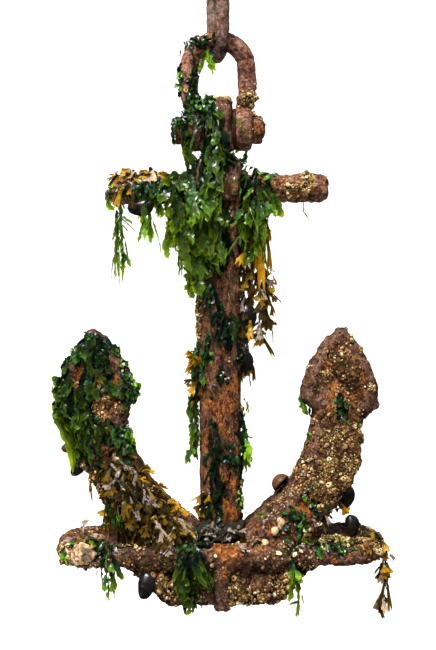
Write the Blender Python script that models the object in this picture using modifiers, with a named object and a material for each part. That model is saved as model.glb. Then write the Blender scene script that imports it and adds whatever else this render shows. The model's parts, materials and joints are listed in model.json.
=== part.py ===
"""Barnacled anchor on one chain link, as it hangs out of the water.

Metres, +Z up, the front of the anchor towards -Y and the stock along X. The origin is the inside of
the chain link's upper bend, which is where the chain bears and everything hangs from.
"""
import math

import bmesh
import bpy
from mathutils import Matrix, Vector

MM = 0.001
GAP = 0.3 * MM              # between metal pieces that touch
SEAT_GAP = 0.4 * MM         # between a growth and what it grows on
WELD = 0.005 * MM
SHARED_LIMIT = 0.001 * MM ** 3

# Chain link
LINK_ROD = 20 * MM
LINK_INNER_LENGTH = 99 * MM
LINK_INNER_WIDTH = 44 * MM
LINK_TURN = math.radians(13)

# Shackle
BOW_ROD = 29 * MM
BOW_RADIUS = 43.5 * MM      # bend, to the middle of the rod
SHACKLE_LEG = ((43.5 * MM, 22 * MM), (43 * MM, 42 * MM), (38 * MM, 60 * MM))     # out, and down from the bow
LEG_THINNING = 2 * MM           # the legs narrow towards the lugs
LEG_END_THINNING = 3.5 * MM
LUG_OFFSET = 37.5 * MM      # middle of each lug from the middle of the shackle
LUG_RADIUS = 32 * MM
LUG_THICKNESS = 26 * MM
BOW_TOP_Z = -LINK_INNER_LENGTH + GAP + BOW_ROD / 2
BOLT_Z = -219 * MM
BOLT_RADIUS = 13 * MM
NUT_ACROSS_FLATS = 38 * MM
NUT_THICKNESS = 16 * MM
BOLT_HEAD_THICKNESS = 14 * MM
BOLT_END = 3 * MM           # thread left standing past the nut

# Shank
SHANK_HALF_WIDTH = 29 * MM
SHANK_HALF_DEPTH = 25 * MM
SHANK_HEAD_HALF_WIDTH = 20.5 * MM
SHANK_HEAD_TOP = -168 * MM
SHANK_HEAD_FOOT = -255 * MM
SHANK_EDGE = 5 * MM
EYE_HALF_WIDTH = 33 * MM
EYE_RADIUS = 36 * MM
TONGUE_HALF_WIDTH = 20 * MM
TONGUE_TOP = -797 * MM
KNUCKLE_RADIUS = 38 * MM

# Stock, with the flat key that keeps it in the shank
STOCK_Z = -307 * MM
STOCK_RADIUS = 20.5 * MM
STOCK_HALF_LENGTH = 163 * MM
STOCK_END_ROUND = 13 * MM
COLLAR_RADIUS = 27 * MM
COLLAR_THICKNESS = 9 * MM
KEY_THICKNESS = 8 * MM
KEY_DEPTH = 17 * MM
KEY_LENGTH = 66 * MM

# Head: crown box, palms, arms and flukes in one casting
PALM_TOP = -827 * MM
PALM_BOTTOM = -853 * MM
PALM_HALF_LENGTH = 244 * MM
PALM_HALF_DEPTH = 71 * MM
PALM_END = 60 * MM          # length of each rounded end
PALM_EDGE = 8 * MM
CROWN_TOP = -836 * MM
CROWN_BOTTOM = -912 * MM
CROWN_HALF_DEPTH = 58 * MM
LIP_HALF_LENGTH = 92 * MM
LIP_RADIUS = 15 * MM
LIP_Y = 62 * MM
LIP_Z = -838 * MM
RIB_HALF_WIDTH = 11 * MM
RIB_DEPTH = 76 * MM         # front of the rib from the middle plane
RIB_BOTTOM = -916 * MM
POCKET_HALF_WIDTH = 33.5 * MM
POCKET_TOP_HALF_DEPTH = 56 * MM
POCKET_BOTTOM_HALF_DEPTH = 42 * MM

# Pin through the foot of the shank, and the two riveted pins under its ends
CROWN_PIN_Z = -850 * MM
CROWN_PIN_RADIUS = 17 * MM
CROWN_PIN_HALF_LENGTH = 72 * MM
KEEPER_X = 57 * MM
KEEPER_RADIUS = 12 * MM
KEEPER_HEAD_RADIUS = 16 * MM
KEEPER_HEAD_THICKNESS = 6 * MM
KEEPER_Z = CROWN_PIN_Z - CROWN_PIN_RADIUS - GAP - KEEPER_RADIUS

# Middle line of the right arm and fluke: x, z, half width, half depth, all in millimetres.
ARM_STATIONS = (
    (40, -850, 34, 54), (72, -832, 38, 52), (112, -793, 38, 43), (142, -757, 37, 35), (160, -714, 36, 30),
    (171, -672, 36, 26), (176, -645, 37, 25), (179, -629, 57, 23), (179, -604, 57, 22), (179.5, -576, 47, 20),
    (180, -551, 33, 17), (181, -535, 22, 14), (183, -524, 12, 11), (184, -517, 5, 8),
)
LEFT_ARM_SPREAD = 9 * MM    # how far the left arm has been bent outwards at its tip

# Lower outline of the crown box on the +X side, from the palm down to its flat bottom
CROWN_OUTLINE = ((145, -846), (136, -859), (119, -871), (102, -884), (93, -896), (87, -906), (79, -912))


# ---------------------------------------------------------------- scene and materials

def clear_scene():
    for obj in list(bpy.data.objects):
        bpy.data.objects.remove(obj, do_unlink=True)


def make_collection(name):
    collection = bpy.data.collections.new(name)
    bpy.context.scene.collection.children.link(collection)
    return collection


def make_material(name, colour, roughness, metallic=0.0):
    material = bpy.data.materials.new(name)
    material.use_nodes = True
    shader = material.node_tree.nodes["Principled BSDF"]
    shader.inputs["Base Color"].default_value = (*colour, 1.0)
    shader.inputs["Roughness"].default_value = roughness
    shader.inputs["Metallic"].default_value = metallic
    material.diffuse_color = (*colour, 1.0)
    return material


# ---------------------------------------------------------------- shapes

def object_from_bmesh(name, bm):
    mesh = bpy.data.meshes.new(name)
    bm.to_mesh(mesh)
    bm.free()
    obj = bpy.data.objects.new(name, mesh)
    WORKBENCH.objects.link(obj)
    return obj


def bake(obj):
    """Turn a curve, or a mesh with modifiers, into a plain welded mesh in world space."""
    bpy.context.view_layer.update()
    evaluated = obj.evaluated_get(bpy.context.evaluated_depsgraph_get())
    mesh = bpy.data.meshes.new_from_object(evaluated)
    mesh.transform(obj.matrix_world)
    name = obj.name
    bpy.data.objects.remove(obj, do_unlink=True)
    bm = bmesh.new()
    bm.from_mesh(mesh)
    bmesh.ops.remove_doubles(bm, verts=bm.verts, dist=WELD)
    bmesh.ops.recalc_face_normals(bm, faces=bm.faces)
    bpy.data.meshes.remove(mesh)
    return object_from_bmesh(name, bm)


def combine(target, tool, operation):
    """Boolean of two solids; the tool is used up."""
    modifier = target.modifiers.new(tool.name, "BOOLEAN")
    modifier.operation = operation
    modifier.solver = "EXACT"
    modifier.object = tool
    result = bake(target)
    bpy.data.objects.remove(tool, do_unlink=True)
    return result


def join(target, *tools):
    for tool in tools:
        target = combine(target, tool, "UNION")
    return target


def cut(target, *tools):
    for tool in tools:
        target = combine(target, tool, "DIFFERENCE")
    return target


def box(name, low, high):
    bm = bmesh.new()
    low, high = Vector(low), Vector(high)
    size = high - low
    bmesh.ops.create_cube(bm, size=1.0)
    bmesh.ops.scale(bm, vec=size, verts=bm.verts)
    bmesh.ops.translate(bm, vec=(low + high) / 2, verts=bm.verts)
    return object_from_bmesh(name, bm)


def cylinder(name, start, end, radius, sides=40):
    """A solid cylinder or prism between two points."""
    start, end = Vector(start), Vector(end)
    bm = bmesh.new()
    bmesh.ops.create_cone(bm, cap_ends=True, segments=sides, radius1=radius, radius2=radius,
                          depth=(end - start).length)
    turn = (end - start).to_track_quat("Z", "Y").to_matrix().to_4x4()
    bm.transform(Matrix.Translation((start + end) / 2) @ turn)
    return object_from_bmesh(name, bm)


def turned(name, profile, sides=28):
    """A solid of revolution about X; the profile is (x, radius) from +X to -X."""
    bm = bmesh.new()
    points = [bm.verts.new((radius, 0, x)) for x, radius in profile]
    for a, b in zip(points, points[1:]):
        bm.edges.new((a, b))
    obj = object_from_bmesh(name, bm)
    screw = obj.modifiers.new("turn", "SCREW")
    screw.axis = "Z"
    screw.steps = sides
    screw.render_steps = sides
    screw.use_merge_vertices = True
    screw.merge_threshold = 0.0001
    obj.rotation_euler = (0, math.pi / 2, 0)
    return bake(obj)


def bevelled(obj, width, segments=1, angle=50):
    modifier = obj.modifiers.new("edges", "BEVEL")
    modifier.width = width
    modifier.segments = segments
    modifier.limit_method = "ANGLE"
    modifier.angle_limit = math.radians(angle)
    return bake(obj)


def tube(name, path, radii, resolution=3, closed=False, flat=1.0):
    """A round rod along a path of points; flat squeezes its section front to back."""
    curve = bpy.data.curves.new(name, "CURVE")
    curve.dimensions = "3D"
    curve.bevel_depth = 1.0
    curve.bevel_resolution = resolution
    curve.use_fill_caps = True
    spline = curve.splines.new("POLY")
    spline.points.add(len(path) - 1)
    for point, place, radius in zip(spline.points, path, radii):
        point.co = (place[0], place[1] / flat, place[2], 1.0)
        point.radius = radius
    spline.use_cyclic_u = closed
    obj = bpy.data.objects.new(name, curve)
    WORKBENCH.objects.link(obj)
    obj.scale = (1, flat, 1)
    return bake(obj)


def slab(name, outline, half_thickness, edge, turn):
    """A flat outline with thickness and rounded rims, turned into its plane."""
    curve = bpy.data.curves.new(name, "CURVE")
    curve.dimensions = "2D"
    curve.fill_mode = "BOTH"
    curve.extrude = half_thickness - edge
    curve.bevel_depth = edge
    curve.bevel_resolution = 1
    curve.offset = -edge
    spline = curve.splines.new("POLY")
    spline.points.add(len(outline) - 1)
    for point, place in zip(spline.points, outline):
        point.co = (place[0], place[1], 0, 1)
    spline.use_cyclic_u = True
    obj = bpy.data.objects.new(name, curve)
    WORKBENCH.objects.link(obj)
    obj.matrix_world = turn
    return bake(obj)


FLAT = Matrix.Identity(4)                                                      # outline in XY
FACING_FRONT = Matrix(((1, 0, 0, 0), (0, 0, -1, 0), (0, 1, 0, 0), (0, 0, 0, 1)))   # outline in XZ
FACING_SIDE = Matrix(((0, 0, 1, 0), (1, 0, 0, 0), (0, 1, 0, 0), (0, 0, 0, 1)))     # outline in YZ


def arc(centre_x, centre_y, radius, start, end, steps):
    """Points of an arc, angles in degrees."""
    angles = [math.radians(start + (end - start) * i / steps) for i in range(steps + 1)]
    return [(centre_x + radius * math.cos(a), centre_y + radius * math.sin(a)) for a in angles]


def grown(obj, margin):
    """A copy of a solid with every face moved outwards by the margin."""
    bm = bmesh.new()
    bm.from_mesh(obj.data)
    bm.normal_update()
    moves = [v.normal * margin * min(v.calc_shell_factor(), 2.0) for v in bm.verts]
    for vert, move in zip(bm.verts, moves):
        vert.co += move
    return object_from_bmesh(obj.name + "_clearance", bm)


def corners(obj):
    points = [v.co for v in obj.data.vertices]
    low = Vector([min(p[i] for p in points) for i in range(3)])
    high = Vector([max(p[i] for p in points) for i in range(3)])
    return low, high


def near(a, b):
    low_a, high_a = corners(a)
    low_b, high_b = corners(b)
    return all(low_a[i] - MM < high_b[i] and low_b[i] - MM < high_a[i] for i in range(3))


def keep_largest_body(obj):
    """Drop the crumbs that a cut leaves beside the main body."""
    bm = bmesh.new()
    bm.from_mesh(obj.data)
    unseen = set(bm.faces)
    bodies = []
    while unseen:
        stack = [unseen.pop()]
        body = set(stack)
        while stack:
            for edge in stack.pop().edges:
                for face in edge.link_faces:
                    if face in unseen:
                        unseen.discard(face)
                        body.add(face)
                        stack.append(face)
        bodies.append(body)
    largest = max(bodies, key=lambda body: sum(face.calc_area() for face in body))
    crumbs = [face for face in bm.faces if face not in largest]
    bmesh.ops.delete(bm, geom=crumbs, context="FACES")
    bm.to_mesh(obj.data)
    bm.free()


# ---------------------------------------------------------------- metal pieces

def make_chain_link():
    """One long link, its plane turned a little from the fore-and-aft plane."""
    bend = (LINK_INNER_WIDTH + LINK_ROD) / 2
    top = -bend + LINK_ROD / 2
    bottom = -LINK_INNER_LENGTH + bend - LINK_ROD / 2
    line = arc(0, top, bend, 0, 180, 10) + arc(0, bottom, bend, 180, 360, 10)
    path = [(-u * math.sin(LINK_TURN), u * math.cos(LINK_TURN), v) for u, v in line]
    return tube("chain_link", path, [LINK_ROD / 2] * len(path), resolution=4, closed=True)


def make_shackle():
    """Bent round bar with a thick round lug on each leg."""
    centre = BOW_TOP_Z - BOW_RADIUS
    leg = [(x, centre - drop) for x, drop in SHACKLE_LEG] + [(LUG_OFFSET, BOLT_Z + LUG_RADIUS / 2)]
    line = [(-x, z) for x, z in reversed(leg)] + arc(0, centre, BOW_RADIUS, 180, 0, 12) + leg
    path = [(x, 0, z) for x, z in line]
    radii = [BOW_ROD / 2] * len(path)
    radii[0] = radii[-1] = BOW_ROD / 2 - LEG_END_THINNING
    radii[1] = radii[-2] = BOW_ROD / 2 - LEG_THINNING
    shackle = tube("shackle", path, radii, resolution=3)
    for side in (-1, 1):
        inner = side * (LUG_OFFSET - LUG_THICKNESS / 2)
        outer = side * (LUG_OFFSET + LUG_THICKNESS / 2)
        lug = cylinder("lug", (inner, 0, BOLT_Z), (outer, 0, BOLT_Z), LUG_RADIUS, 28)
        shackle = join(shackle, bevelled(lug, 5 * MM, 2))
    reach = LUG_OFFSET + LUG_THICKNESS
    bore = cylinder("bore", (-reach, 0, BOLT_Z), (reach, 0, BOLT_Z), BOLT_RADIUS + GAP, 32)
    return cut(shackle, bore)


def make_bolt():
    """Bolt with a hexagon head against the left lug."""
    lug_face = LUG_OFFSET + LUG_THICKNESS / 2
    head_face = -lug_face - GAP
    end = lug_face + GAP + NUT_THICKNESS + BOLT_END
    head_radius = NUT_ACROSS_FLATS / math.sqrt(3)
    head_end = head_face - BOLT_HEAD_THICKNESS
    head = cylinder("head", (head_end, 0, BOLT_Z), (head_face, 0, BOLT_Z), head_radius, 6)
    bolt = cylinder("shackle_bolt", (head_end + MM, 0, BOLT_Z), (end, 0, BOLT_Z), BOLT_RADIUS, 32)
    return join(bolt, bevelled(head, 1.5 * MM))


def make_nut():
    start = LUG_OFFSET + LUG_THICKNESS / 2 + GAP
    radius = NUT_ACROSS_FLATS / math.sqrt(3)
    nut = cylinder("shackle_nut", (start, 0, BOLT_Z), (start + NUT_THICKNESS, 0, BOLT_Z), radius, 6)
    bore = cylinder("bore", (start - MM, 0, BOLT_Z), (start + NUT_THICKNESS + MM, 0, BOLT_Z),
                    BOLT_RADIUS + GAP, 32)
    return cut(bevelled(nut, 2 * MM, 1, 25), bore)


def make_shank():
    """Forged shank: the crossing of its front outline and its side outline, then the two eyes."""
    head, body, eye = SHANK_HEAD_HALF_WIDTH, SHANK_HALF_WIDTH, EYE_HALF_WIDTH
    above_eye, below_eye = STOCK_Z + EYE_RADIUS, STOCK_Z - EYE_RADIUS
    right = [(head, SHANK_HEAD_TOP + 5 * MM), (head, SHANK_HEAD_FOOT), (eye, above_eye),
             (eye, below_eye), (body, below_eye - 12 * MM), (body, TONGUE_TOP),
             (TONGUE_HALF_WIDTH, TONGUE_TOP - 16 * MM), (TONGUE_HALF_WIDTH, CROWN_BOTTOM)]
    outline = right + [(-x, z) for x, z in reversed(right)]
    shank = slab("shank", outline, 60 * MM, 0.5 * MM, FACING_FRONT)

    depth = SHANK_HALF_DEPTH
    top_arc = arc(0, SHANK_HEAD_TOP - depth, depth, 90, 0, 6)
    eye_half_angle = math.degrees(math.acos(depth / EYE_RADIUS))
    eye_arc = arc(0, STOCK_Z, EYE_RADIUS, eye_half_angle, -eye_half_angle, 8)
    knuckle_angle = math.degrees(math.acos(depth / KNUCKLE_RADIUS))
    foot_arc = arc(0, CROWN_PIN_Z, KNUCKLE_RADIUS, knuckle_angle, -90, 8)
    front = top_arc + eye_arc + foot_arc
    profile = front + [(-y, z) for y, z in reversed(front[1:-1])]
    side = slab("side", profile, 60 * MM, 0.5 * MM, FACING_SIDE)
    shank = combine(shank, side, "INTERSECT")
    shank = bevelled(shank, SHANK_EDGE, 1, 65)

    bolt_hole = cylinder("bolt_hole", (-60 * MM, 0, BOLT_Z), (60 * MM, 0, BOLT_Z), BOLT_RADIUS + 2 * GAP, 32)
    stock_hole = cylinder("stock_hole", (-60 * MM, 0, STOCK_Z), (60 * MM, 0, STOCK_Z),
                          STOCK_RADIUS + GAP + 0.1 * MM, 32)
    pin_hole = cylinder("pin_hole", (-60 * MM, 0, CROWN_PIN_Z), (60 * MM, 0, CROWN_PIN_Z),
                        CROWN_PIN_RADIUS + GAP, 32)
    return cut(shank, bolt_hole, stock_hole, pin_hole)


def make_stock():
    """Round bar with rounded ends, a collar on one side of the shank and a slot for the key."""
    collar_face = EYE_HALF_WIDTH + GAP
    fillet = [(x, r) for r, x in arc(STOCK_RADIUS - STOCK_END_ROUND, STOCK_HALF_LENGTH - STOCK_END_ROUND,
                                     STOCK_END_ROUND, 90, 0, 4)]
    profile = [(STOCK_HALF_LENGTH, 0.0)] + fillet
    profile += [(collar_face + COLLAR_THICKNESS + 4 * MM, STOCK_RADIUS),
                (collar_face + COLLAR_THICKNESS, COLLAR_RADIUS), (collar_face, COLLAR_RADIUS),
                (collar_face, STOCK_RADIUS)]
    profile += [(-x, r) for x, r in reversed(fillet)] + [(-STOCK_HALF_LENGTH, 0.0)]
    stock = turned("stock", profile)
    stock.data.transform(Matrix.Translation((0, 0, STOCK_Z)))
    centre = key_centre()
    half = Vector((KEY_THICKNESS / 2 + GAP, KEY_DEPTH / 2 + GAP, KEY_LENGTH))
    return cut(stock, box("slot", centre - half, centre + half))


def key_centre():
    return Vector((-EYE_HALF_WIDTH - GAP - KEY_THICKNESS / 2, 0, STOCK_Z))


def make_key():
    """Flat key through the stock, against the shank."""
    centre = key_centre()
    half = Vector((KEY_THICKNESS / 2, KEY_DEPTH / 2, KEY_LENGTH / 2))
    return bevelled(box("stock_key", centre - half, centre + half), 1.2 * MM)


def arm_rings(side):
    """Eight-cornered sections square to the arm's middle line."""
    centres = [Vector((x, 0, z)) * MM for x, z, _, _ in ARM_STATIONS]
    if side < 0:
        root, tip = centres[0].z, centres[-1].z
        for centre in centres:
            centre.x += LEFT_ARM_SPREAD * ((centre.z - root) / (tip - root)) ** 2
    rings = []
    for i, (_, _, half_width, half_depth) in enumerate(ARM_STATIONS):
        along = centres[min(i + 1, len(centres) - 1)] - centres[max(i - 1, 0)]
        across = Vector((along.z, 0, -along.x)).normalized()
        a, b = half_width * MM, half_depth * MM
        c = min(a, b) * 0.42
        section = ((a, b - c), (a - c, b), (c - a, b), (-a, b - c), (-a, c - b), (c - a, -b), (a - c, -b),
                   (a, c - b))
        ring = [centres[i] + across * u + Vector((0, v, 0)) for u, v in section]
        rings.append([Vector((side * p.x, p.y, p.z)) for p in ring])
    return rings


def loft(name, rings):
    bm = bmesh.new()
    rows = [[bm.verts.new(point) for point in ring] for ring in rings]
    for lower, upper in zip(rows, rows[1:]):
        for i in range(len(lower)):
            j = (i + 1) % len(lower)
            bm.faces.new((lower[i], lower[j], upper[j], upper[i]))
    bm.faces.new(rows[0])
    bm.faces.new(rows[-1])
    bmesh.ops.recalc_face_normals(bm, faces=bm.faces)
    return object_from_bmesh(name, bm)


def palm_outline():
    """Plan of the palms: straight front and back edges and rounded ends."""
    reach = PALM_HALF_LENGTH - PALM_END
    end = [(reach + PALM_END * math.cos(a), PALM_HALF_DEPTH * math.sin(a))
           for a in (math.radians(-90 + 15 * i) for i in range(13))]
    return end + [(-x, -y) for x, y in end]


def make_head():
    """Crown box, palms, lips, ribs, arms and flukes, cast in one, then pocket and pin seats."""
    palm_half = (PALM_TOP - PALM_BOTTOM) / 2
    head = slab("head", palm_outline(), palm_half, PALM_EDGE, FLAT)
    head.data.transform(Matrix.Translation((0, 0, (PALM_TOP + PALM_BOTTOM) / 2)))
    half_crown = [(x * MM, z * MM) for x, z in CROWN_OUTLINE]
    crown = [(half_crown[0][0], CROWN_TOP)] + half_crown
    crown += [(-x, z) for x, z in reversed(crown)]
    head = join(head, slab("crown_box", crown, CROWN_HALF_DEPTH, 5 * MM, FACING_FRONT))
    for side in (-1, 1):
        lip = cylinder("lip", (-LIP_HALF_LENGTH, side * LIP_Y, LIP_Z), (LIP_HALF_LENGTH, side * LIP_Y, LIP_Z),
                       LIP_RADIUS, 20)
        rib = box("rib", (-RIB_HALF_WIDTH, min(side * RIB_DEPTH, 0.6 * side * RIB_DEPTH), RIB_BOTTOM),
                  (RIB_HALF_WIDTH, max(side * RIB_DEPTH, 0.6 * side * RIB_DEPTH), LIP_Z))
        head = join(head, bevelled(lip, 4 * MM), bevelled(rib, 3.5 * MM), loft("arm", arm_rings(side)))

    pocket = box("pocket", (-POCKET_HALF_WIDTH, -POCKET_TOP_HALF_DEPTH, CROWN_BOTTOM - 10 * MM),
                 (POCKET_HALF_WIDTH, POCKET_TOP_HALF_DEPTH, PALM_TOP + 50 * MM))
    for vert in pocket.data.vertices:
        if vert.co.z < PALM_BOTTOM:
            vert.co.y *= POCKET_BOTTOM_HALF_DEPTH / POCKET_TOP_HALF_DEPTH
    reach = CROWN_PIN_HALF_LENGTH + GAP
    seat = CROWN_PIN_RADIUS + GAP
    cradle = cylinder("cradle", (-reach, 0, CROWN_PIN_Z), (reach, 0, CROWN_PIN_Z), seat, 32)
    way_in = box("way_in", (-reach, -seat, CROWN_BOTTOM - 10 * MM), (reach, seat, CROWN_PIN_Z))
    head = cut(head, pocket, join(cradle, way_in))
    for side in (-1, 1):
        x = side * KEEPER_X
        reach = CROWN_HALF_DEPTH + 20 * MM
        bore = cylinder("bore", (x, -reach, KEEPER_Z), (x, reach, KEEPER_Z),
                        KEEPER_RADIUS + GAP, 24)
        head = cut(head, bore)
    return head


def make_crown_pin():
    return bevelled(cylinder("crown_pin", (-CROWN_PIN_HALF_LENGTH, 0, CROWN_PIN_Z),
                             (CROWN_PIN_HALF_LENGTH, 0, CROWN_PIN_Z), CROWN_PIN_RADIUS, 32), 1.5 * MM)


def make_keeper(name, side):
    """Pin from front to back under one end of the crown pin, with a low round head in front."""
    x = side * KEEPER_X
    face = -CROWN_HALF_DEPTH - GAP
    start = face - KEEPER_HEAD_THICKNESS / 2
    pin = cylinder(name, (x, start, KEEPER_Z), (x, CROWN_HALF_DEPTH, KEEPER_Z), KEEPER_RADIUS, 24)
    head = cylinder("pin_head", (x, face - KEEPER_HEAD_THICKNESS, KEEPER_Z), (x, face, KEEPER_Z),
                    KEEPER_HEAD_RADIUS, 24)
    return join(pin, bevelled(head, 2 * MM))


# ---------------------------------------------------------------- growth
# Each growth is one closed solid, shaped as a thick strand or a dome and then cut away wherever
# the metal or an earlier growth already is, so that it sits on its carrier with a hairline gap.
# Strand points are x, y, z and radius in millimetres; flat squeezes the strand front to back.

SHACKLE_GROWTH = (
    ("weed_shackle_leg", "weed", 0.8,
     ((-44, -12, -88, 9), (-46, -16, -120, 15), (-47, -20, -165, 16), (-47, -32, -215, 13),
      (-47, -36, -250, 7))),
    ("barnacles_shackle", "barnacle", 1.0, ((31, -12, -176, 5), (43, -14, -171, 7), (53, -8, -168, 5))),
)

ANCHOR_STRANDS = (
    ("weed_shank_top", "weed", 0.8,
     ((-9, -26, -190, 7), (-9, -29, -225, 9), (-4, -34, -262, 16), (4, -38, -307, 24), (-5, -34, -364, 20),
      (-18, -27, -426, 10))),
    ("weed_stock_left", "weed", 0.8,
     ((-46, -28, -286, 10), (-52, -34, -321, 25), (-43, -30, -379, 20), (-38, -24, -448, 9))),
    ("weed_stock_right", "weed", 0.8,
     ((44, -24, -276, 10), (58, -30, -313, 20), (48, -26, -364, 16), (36, -22, -403, 8))),
    ("weed_ribbon", "weed", 0.6,
     ((-19, -26, -440, 6), (4, -27, -481, 8), (27, -25, -532, 8), (33, -20, -552, 5))),
    ("weed_stock_end_left", "weed", 0.8,
     ((-150, -18, -318, 9), (-144, -18, -363, 12), (-135, -15, -400, 9), (-124, -12, -444, 4))),
    ("weed_stock_mid_left", "weed", 0.8, ((-104, -18, -322, 7), (-95, -18, -360, 8), (-88, -15, -388, 4))),
    ("fucus_stock_left", "fucus", 1.0,
     ((-160, -6, -287, 5), (-130, -6, -284, 9), (-95, -6, -284, 9), (-70, -6, -286, 5))),
    ("fucus_shank_right", "fucus", 1.0,
     ((36, -6, -388, 8), (57, -6, -429, 13), (65, -6, -474, 16), (53, -6, -526, 10), (42, -6, -575, 4))),
    ("weed_shank_left", "weed", 1.0,
     ((-32, -12, -545, 6), (-38, -13, -600, 12), (-41, -13, -659, 14), (-36, -12, -706, 8))),
    ("weed_shank_front", "weed", 0.6,
     ((-14, -25, -650, 7), (-4, -26, -715, 14), (-8, -26, -755, 13), (-14, -25, -786, 8))),
    ("weed_shank_right", "weed", 1.0, ((31, -12, -615, 5), (35, -13, -674, 9), (36, -13, -726, 6))),
    ("weed_fluke_left", "weed", 0.45,
     ((-188, -14, -528, 16), (-199, -20, -590, 46), (-186, -24, -650, 42), (-166, -30, -700, 26))),
    ("fucus_arm_left", "fucus", 0.6,
     ((-153, -36, -714, 19), (-122, -43, -753, 26), (-90, -55, -796, 25), (-64, -66, -832, 15))),
    ("weed_palm_left", "weed", 0.8, ((-173, -56, -812, 12), (-161, -70, -832, 15), (-152, -76, -882, 7))),
    ("fucus_palm_left", "fucus", 1.0, ((-222, -28, -822, 8), (-200, -36, -821, 11))),
    ("weed_crown_left", "weed", 0.7,
     ((-58, -58, -820, 13), (-38, -72, -832, 18), (-42, -74, -868, 16), (-50, -70, -908, 8))),
    ("weed_fluke_right", "weed", 0.8, ((178, -24, -612, 8), (180, -28, -655, 9))),
    ("weed_palm_right", "weed", 0.8, ((98, -58, -822, 9), (133, -64, -824, 12), (176, -58, -825, 9))),
    ("weed_strand_right", "weed", 0.8, ((99, -74, -836, 8), (107, -78, -881, 9), (105, -76, -928, 4))),
    ("fucus_palm_right", "fucus", 0.8,
     ((206, -28, -818, 10), (231, -32, -828, 14), (236, -34, -877, 8), (229, -32, -930, 4))),
    ("barnacles_stock", "barnacle", 1.0,
     ((96, -17, -312, 6), (116, -17, -310, 8), (137, -13, -300, 8), (134, 2, -288, 6))),
    ("barnacles_shank", "barnacle", 1.0, ((-29, -12, -460, 4), (-30, -12, -495, 6), (-29, -12, -530, 4))),
    ("barnacles_fluke_right", "barnacle", 0.35,
     ((168, -17, -556, 12), (190, -20, -585, 20), (200, -22, -602, 10))),
    ("barnacles_arm_right", "barnacle", 0.3,
     ((182, -24, -640, 22), (178, -27, -684, 31), (168, -31, -722, 31), (150, -36, -757, 24))),
    ("barnacles_palm_right", "barnacle", 1.0,
     ((150, -34, -826, 7), (188, -48, -827, 9), (215, -42, -829, 8))),
    ("barnacles_palm_left", "barnacle", 1.0,
     ((-230, -28, -840, 9), (-214, -56, -842, 9), (-188, -69, -844, 8))),
    ("barnacles_crown_left", "barnacle", 0.6,
     ((-112, -57, -862, 8), (-92, -57, -876, 12), (-82, -57, -896, 8))),
    ("barnacles_rib_left", "barnacle", 0.6, ((-26, -57, -860, 8), (-25, -57, -880, 10), (-32, -57, -899, 7))),
    ("barnacles_rib_right", "barnacle", 0.6, ((24, -57, -862, 7), (26, -57, -882, 10), (32, -57, -899, 7))),
    ("barnacles_crown_right", "barnacle", 0.6, ((94, -58, -862, 9), (90, -58, -881, 10), (79, -58, -902, 7))),
    ("limpets_arm_root", "shell", 1.0, ((66, -50, -814, 8), (80, -49, -806, 10), (88, -46, -798, 8))),
)

# Domes: name, material, centre, half sizes, and tilt about Y in degrees
ANCHOR_DOMES = (
    ("shell_palm_left", "shell", (-197, -72, -832), (19, 12, 15), 0),
    ("shell_arm_right", "shell", (84, -6, -744), (17, 15, 13), 45),
    ("mussel_shank_upper", "mussel", (37, -6, -501), (10, 12, 21), 4),
    ("mussel_shank_lower", "mussel", (36, -6, -567), (9, 10, 17), -6),
    ("mussel_stock", "mussel", (-116, -16, -333), (20, 12, 9), 10),
    ("mussel_arm_left_low", "mussel", (-213, -6, -719), (11, 12, 19), 24),
    ("mussel_arm_left_high", "mussel", (-223, -6, -690), (16, 11, 9), -20),
    ("mussel_crown", "mussel", (-110, -62, -880), (9, 12, 20), 12),
    ("mussel_arm_right", "mussel", (184, -8, -768), (11, 13, 20), 14),
    ("mussel_palm_right", "mussel", (193, -14, -813), (10, 12, 19), -8),
)


def smooth_strand(points, steps=2):
    """Catmull-Rom through the strand's points, with a small round end at each end."""
    rows = [Vector(p) * MM for p in points]
    line = []
    for i in range(len(rows) - 1):
        before, start, end, after = rows[max(i - 1, 0)], rows[i], rows[i + 1], rows[min(i + 2, len(rows) - 1)]
        for step in range(steps):
            t = step / steps
            bend = 2 * before - 5 * start + 4 * end - after
            twist = 3 * start - before - 3 * end + after
            line.append(0.5 * (2 * start + (end - before) * t + bend * t ** 2 + twist * t ** 3))
    line.append(rows[-1])
    first, last = line[0], line[-1]
    head = end_ring(first, line[1])
    tail = end_ring(last, line[-2])
    return [head] + line + [tail]


def end_ring(end, neighbour):
    outward = (end.xyz - neighbour.xyz).normalized()
    ring = end.copy()
    ring.xyz = end.xyz + outward * end.w * 0.6
    ring.w = end.w * 0.55
    return ring


def make_strand(name, flat, points):
    line = smooth_strand(points)
    return tube(name, [p.xyz for p in line], [p.w for p in line], resolution=2, flat=flat)


def make_dome(name, centre, half_sizes, tilt):
    bm = bmesh.new()
    bmesh.ops.create_uvsphere(bm, u_segments=12, v_segments=7, radius=1.0)
    size = Matrix.Diagonal((*(Vector(half_sizes) * MM), 1.0))
    bm.transform(Matrix.Translation(Vector(centre) * MM) @ Matrix.Rotation(math.radians(tilt), 4, "Y") @ size)
    return object_from_bmesh(name, bm)


def make_silt(name, side):
    """Wedge of silt packed between the shank and the front or back wall of the pocket."""
    top, middle, lip, floor = -799 * MM, -803 * MM, -812 * MM, -820 * MM
    lean = (POCKET_TOP_HALF_DEPTH - POCKET_BOTTOM_HALF_DEPTH) / (PALM_TOP + 50 * MM - CROWN_BOTTOM + 10 * MM)
    shank_face = SHANK_HALF_DEPTH + SEAT_GAP

    def wall(z):
        return POCKET_TOP_HALF_DEPTH - lean * (PALM_TOP + 50 * MM - z) - SEAT_GAP

    outline = [(shank_face, top), (shank_face, floor), (wall(floor), floor), (wall(lip), lip),
               (0.6 * shank_face + 0.4 * wall(lip), middle)]
    outline = [(side * y, z) for y, z in outline]
    return slab(name, outline, POCKET_HALF_WIDTH - SEAT_GAP, 0.5 * MM, FACING_SIDE)


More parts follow.
